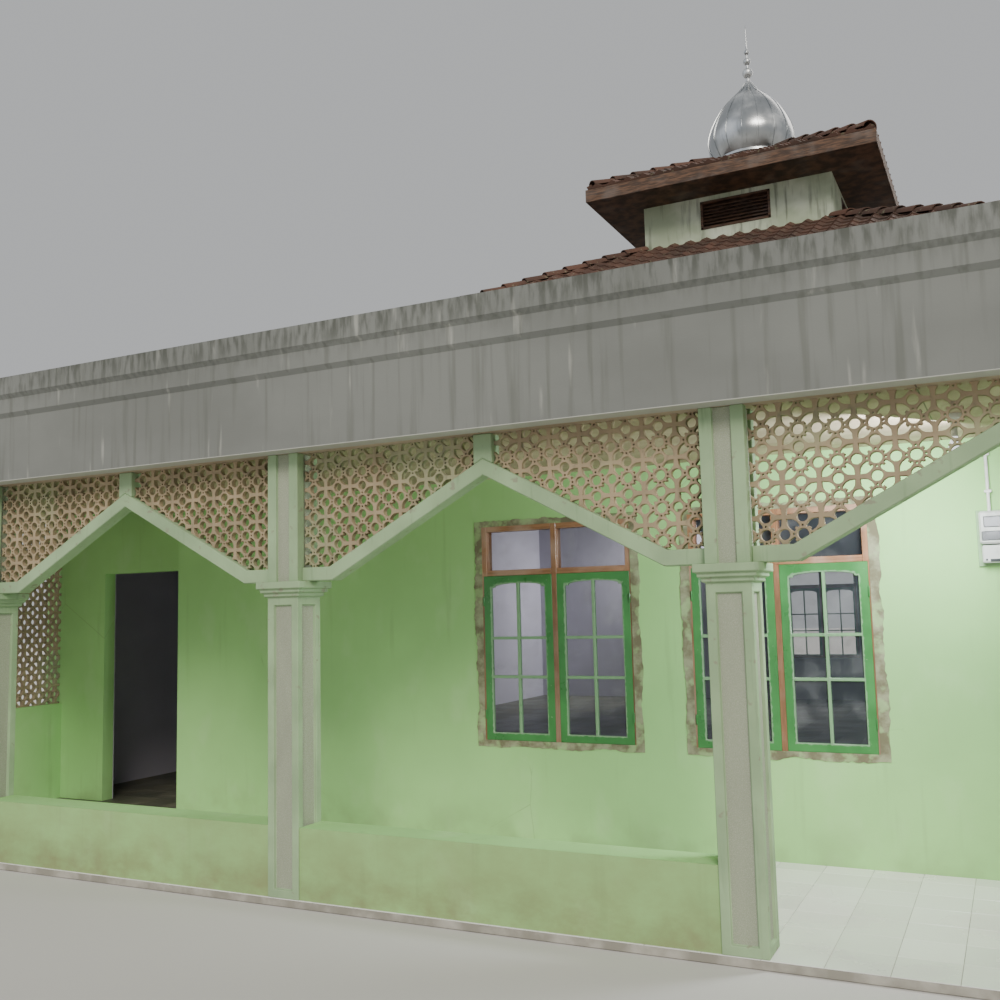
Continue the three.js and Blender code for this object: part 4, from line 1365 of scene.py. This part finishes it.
class MOSQUE_OT_tier(bpy.types.Operator):
    """The raised tier: louvres in its four vents and its own small tiled roof"""

    bl_idname = "mosque.tier"
    bl_label = "Tier"

    def execute(self, context):
        low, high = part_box("tier_roof")
        eave_top = low.z + TIER_EAVE_DEPTH
        lines = high.x, TIER_PEAK_HALF, eave_top, high.z
        slopes = copies(tiled_slope(*lines, TIER_EAVE_DEPTH), round_hall())
        core = paint(tier_core(high.x, low.z, high.z, eave_top), 1)
        whole = joined([*slopes, core, hip_caps(*lines, TIER_CAP_START)])
        timber = surface(oiled_hardwood)
        piece("tier_roof_tiles", whole, [surface(aged_clay_tile), timber], ["tier_roof"])
        vent = vent_shape(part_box("tier_walls")[1].x)
        piece("tier_louvres", joined(copies(vent, round_hall())), [timber])
        return {"FINISHED"}


# Dome and spire

DOME_LINE = ((0.8, 0), (1, 0.28), (0.72, 0.62), (0.22, 0.88))  # shares of its radius and height
DOME_TIP = 0.03
DOME_SIDES = 48
GORES = 16
SEAM_HALF = 0.004
SEAM_OUT = 0.009
SEAM_IN = 0.006
COLLAR = ((0.03, 0), (0.04, 0.012), (0.04, 0.04), (0.028, 0.05), (0.02, 0.056))  # out from the foot, and up
BALLS = ((0.14, 0.07), (0.34, 0.05), (0.5, 0.034))  # share of the spire's height, and radius
SPIRE_FOOT = ((0, -0.02), (0.034, -0.02), (0.03, 0.01))  # radius, and over the dome
NEEDLE = ((0.011, 0.56), (0.009, 0.7), (0.005, 0.9), (0, 1))  # radius, and share of the spire's height


def dome_shape():
    """The sheet skin, its standing seams and the collar at its foot."""
    low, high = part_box("dome")
    radius, height, base = (high.x - low.x) / 2, high.z - low.z, low.z
    centre = (0, HALL_MIDDLE_Y)
    line = [(radius * out, base + height * up) for out, up in DOME_LINE]
    skin = smooth_line([*line, (DOME_TIP, high.z)], 9)
    parts = [turned([(0, base), *skin, (0, high.z)], DOME_SIDES, centre)]
    seamed = skin[1:-3]
    seam = [(r + SEAM_OUT, z) for r, z in seamed] + [(r - SEAM_IN, z) for r, z in reversed(seamed)]
    parts += copies(plate(seam, [], -SEAM_HALF, SEAM_HALF), round_hall(GORES))
    foot = line[0][0]
    collar = [(0, base), *[(foot + out, base + up) for out, up in COLLAR], (0, base + COLLAR[-1][1])]
    parts.append(turned(collar, DOME_SIDES, centre))
    return joined(parts)


def spire_shape():
    """Three balls on a stem that ends in a needle."""
    low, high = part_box("spire")
    foot, span = low.z, high.z - low.z
    line = [(radius, foot + up) for radius, up in SPIRE_FOOT]
    for share, radius in BALLS:
        for degrees in range(-75, 76, 15):
            angle = math.radians(degrees)
            line.append((radius * math.cos(angle), foot + span * share + radius * math.sin(angle)))
    line += [(radius, foot + span * share) for radius, share in NEEDLE]
    return turned(line, 20, (0, HALL_MIDDLE_Y))


class MOSQUE_OT_dome(bpy.types.Operator):
    """The onion dome of seamed metal sheet and its spire"""

    bl_idname = "mosque.dome"
    bl_label = "Dome and spire"

    def execute(self, context):
        metal = [surface(oxidised_aluminium)]
        piece("dome_sheet", dome_shape(), metal, ["dome"])
        piece("spire_turned", spire_shape(), metal, ["spire"])
        return {"FINISHED"}


# Fittings

METER_HEIGHT = 0.36
BACK_BOARD = 0.018
SCREW = ((0, 0), (0.007, 0), (0.006, 0.004), (0, 0.005))  # radius, and out of the cover
CONDUIT_RADIUS = 0.011
CONDUIT_X = 0.082  # from the meter box's left side
CONDUIT_Y = HALL_Y - 0.028
CLIPS = (0.12, 0.36)  # over the meter box
CLIP_HALF = (0.022, 0.014, 0.009)
ROSE = [(0, 0), (0.05, 0), (0.05, 0.012), (0.044, 0.026), (0.02, 0.034)]  # radius, and down from the ceiling
ROSE += [(0.0175, 0.06), (0.0175, 0.128), (0, 0.128)]
BULB = [(0.0165, 0.126), (0.019, 0.14), (0.034, 0.17), (0.0395, 0.2), (0.0375, 0.225), (0.024, 0.243)]
BULB_TOP = 0.126
BULB_BOTTOM = 0.25


def meter_box_shape():
    """A painted back board with the housing, the terminal cover, two windows, a slot, two screws and the
    conduit."""
    low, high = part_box("meter_box")
    wall = HALL_Y - CLEAR
    backed = wall - BACK_BOARD
    blocks = (  # in from each side, front and back, bottom and top over the box's foot, bevel, material
        (0.0, backed, wall, 0.0, METER_HEIGHT, 0.003, 1),
        (0.018, low.y + 0.008, backed, 0.14, METER_HEIGHT - 0.012, 0.012, 0),
        (0.026, low.y + 0.02, backed, 0.02, 0.132, 0.008, 0),
        (0.045, low.y + 0.001, low.y + 0.02, 0.245, 0.315, 0.004, 2),
        (0.03, low.y + 0.004, low.y + 0.02, 0.16, 0.22, 0.004, 2),
        (0.07, low.y + 0.018, low.y + 0.03, 0.026, 0.044, 0.002, 2),
    )
    parts = []
    for inset, front, back, bottom, top, bevel, material in blocks:
        shape = board((low.x + inset, front, low.z + bottom), (high.x - inset, back, low.z + top), bevel)
        parts.append(paint(shape, material))
    for x in (low.x + 0.05, high.x - 0.05):
        screw = move(turned(SCREW, 8), Matrix.Rotation(math.pi / 2, 4, "X"))
        parts.append(paint(slide(screw, x, low.y + 0.02, low.z + 0.04), 2))
    box_top = low.z + METER_HEIGHT
    pipe_x = low.x + CONDUIT_X
    line = [(0, box_top - 0.02), (CONDUIT_RADIUS, box_top - 0.02), (CONDUIT_RADIUS, high.z), (0, high.z)]
    parts.append(paint(turned(line, 14, (pipe_x, CONDUIT_Y)), 3))
    half_x, half_y, half_z = CLIP_HALF
    for z in (box_top + up for up in CLIPS):
        clip = board((pipe_x - half_x, CONDUIT_Y - half_y, z - half_z), (pipe_x + half_x, wall, z + half_z))
        parts.append(paint(clip, 3))
    return joined(parts)


def lamp_shape():
    """A ceiling rose and holder with a bulb below."""
    low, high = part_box("lamp")
    centre = ((low.x + high.x) / 2, (low.y + high.y) / 2)
    rose = [(radius, high.z - drop) for radius, drop in ROSE]
    bulb = smooth_line([(radius, high.z - drop) for radius, drop in BULB], 3)
    bulb = [(0, high.z - BULB_TOP), *bulb, (0, high.z - BULB_BOTTOM)]
    return joined([paint(turned(rose, 24, centre), 1), turned(bulb, 20, centre)])


class MOSQUE_OT_fittings(bpy.types.Operator):
    """The meter box with its conduit and the lamp under the verandah's roof"""

    bl_idname = "mosque.fittings"
    bl_label = "Meter box and lamp"

    def execute(self, context):
        plastics = [surface(moulded_plastic, part) for part in ("housing", "backing", "cover", "conduit")]
        piece("meter_box_dressed", meter_box_shape(), plastics, ["meter_box"])
        piece("lamp_dressed", lamp_shape(), [surface(opal_bulb), plastics[-1]], ["lamp"])
        return {"FINISHED"}


# Stage

CAMERA_AT = (2.771, -12.593, 1.808)
YAW, PITCH, ROLL = math.radians(-26.378), math.radians(6.048), math.radians(-1.387)
LENS_MM = 37.11
SENSOR_MM = 36.0
FLOOR_DROP = 0.002


def light(name, kind, at, towards, strength, colour, **shape):
    data = bpy.data.lights.new(name, kind)
    data.energy = strength
    data.color = linear(colour)[:3]
    for key, value in shape.items():
        setattr(data, key, value)
    lamp = bpy.data.objects.new(name, data)
    lamp.location = at
    lamp.visible_camera = False
    lamp.rotation_euler = (Vector(towards) - Vector(at)).to_track_quat("-Z", "Y").to_euler()
    bpy.context.scene.collection.objects.link(lamp)


def place_camera():
    """The camera stands where the photograph was taken, turned, tilted and rolled as it was."""
    data = bpy.data.cameras.new("camera")
    data.lens = LENS_MM
    data.sensor_width = SENSOR_MM
    data.sensor_fit = "HORIZONTAL"
    data.clip_end = 300
    camera = bpy.data.objects.new("camera", data)
    forward = Vector((math.sin(YAW) * math.cos(PITCH), math.cos(YAW) * math.cos(PITCH), math.sin(PITCH)))
    level = Vector((math.cos(YAW), -math.sin(YAW), 0))
    upright = level.cross(forward)
    right = math.cos(ROLL) * level + math.sin(ROLL) * upright
    up = -math.sin(ROLL) * level + math.cos(ROLL) * upright
    turn = Matrix((right, up, -forward)).transposed().to_4x4()
    camera.matrix_world = Matrix.Translation(CAMERA_AT) @ turn
    bpy.context.scene.collection.objects.link(camera)
    bpy.context.scene.camera = camera


def lay_floor():
    ground = bmesh.new()
    bmesh.ops.create_grid(ground, x_segments=1, y_segments=1, size=60)
    bmesh.ops.translate(ground, vec=(0, 0, -FLOOR_DROP), verts=ground.verts)
    mesh = bpy.data.meshes.new("ground")
    ground.to_mesh(mesh)
    ground.free()
    mesh.materials.append(surface(pale_floor))
    floor = bpy.data.objects.new("ground", mesh)
    bpy.context.scene.collection.objects.link(floor)


def light_studio():
    """An even sky, three soft suns, and a lamp each in the verandah and the hall."""
    world = bpy.data.worlds.new("studio")
    world.use_nodes = True
    sky = world.node_tree.nodes["Background"].inputs
    sky["Color"].default_value = linear("#E8EAEC")
    sky["Strength"].default_value = 0.62
    bpy.context.scene.world = world
    light("key", "SUN", (12, -20, 15), (0, 0, 0), 2.5, "#FFF6EA", angle=math.radians(24))
    light("fill", "SUN", (-15, -14, 9), (0, 0, 0), 0.45, "#EEF3FF", angle=math.radians(60))
    light("back", "SUN", (6, 24, 15), (0, 0, 0), 1.1, "#FFF8F0", angle=math.radians(40))
    light("verandah", "AREA", (2.4, -6.4, 2.6), (0.9, -5.2, 1.3), 80, "#F6FAFF", size=0.8)
    light("hall", "AREA", (-2.6, 6.25, 3.3), (-6, 6, 1), 60, "#F4F4F6", size=1.2, spread=math.radians(110))


class MOSQUE_OT_stage(bpy.types.Operator):
    """Camera where the photograph was taken, a plain pale floor and soft studio light"""

    bl_idname = "mosque.stage"
    bl_label = "Stage"

    def execute(self, context):
        place_camera()
        lay_floor()
        light_studio()
        return {"FINISHED"}


# The sidebar, and the order in which the building is dressed

STEPS = [
    MOSQUE_OT_stage,
    MOSQUE_OT_floor,
    MOSQUE_OT_walls,
    MOSQUE_OT_columns,
    MOSQUE_OT_arches,
    MOSQUE_OT_end_screens,
    MOSQUE_OT_windows,
    MOSQUE_OT_roof,
    MOSQUE_OT_tier,
    MOSQUE_OT_dome,
    MOSQUE_OT_fittings,
]


class MOSQUE_PT_panel(bpy.types.Panel):
    """Sizes, colours and the steps that dress the building"""

    bl_idname = "MOSQUE_PT_panel"
    bl_label = "Mosque building"
    bl_space_type = "VIEW_3D"
    bl_region_type = "UI"
    bl_category = "Mosque"

    def draw(self, context):
        for group in (measures(), paints()):
            box = self.layout.box()
            for name in group.bl_rna.properties.keys():
                if name not in ("rna_type", "name"):
                    box.prop(group, name)
        for step in STEPS:
            self.layout.operator(step.bl_idname)


CLASSES = [MosqueColours, MosqueSizes, *STEPS, MOSQUE_PT_panel]


def register():
    for cls in CLASSES:
        bpy.utils.register_class(cls)
    bpy.types.Scene.mosque_colours = PointerProperty(type=MosqueColours)
    bpy.types.Scene.mosque_sizes = PointerProperty(type=MosqueSizes)


def unregister():
    del bpy.types.Scene.mosque_sizes
    del bpy.types.Scene.mosque_colours
    for cls in reversed(CLASSES):
        bpy.utils.unregister_class(cls)


def main():
    register()
    for step in STEPS:
        group, name = step.bl_idname.split(".")
        getattr(getattr(bpy.ops, group), name)()


if __name__ == "__main__":
    main()
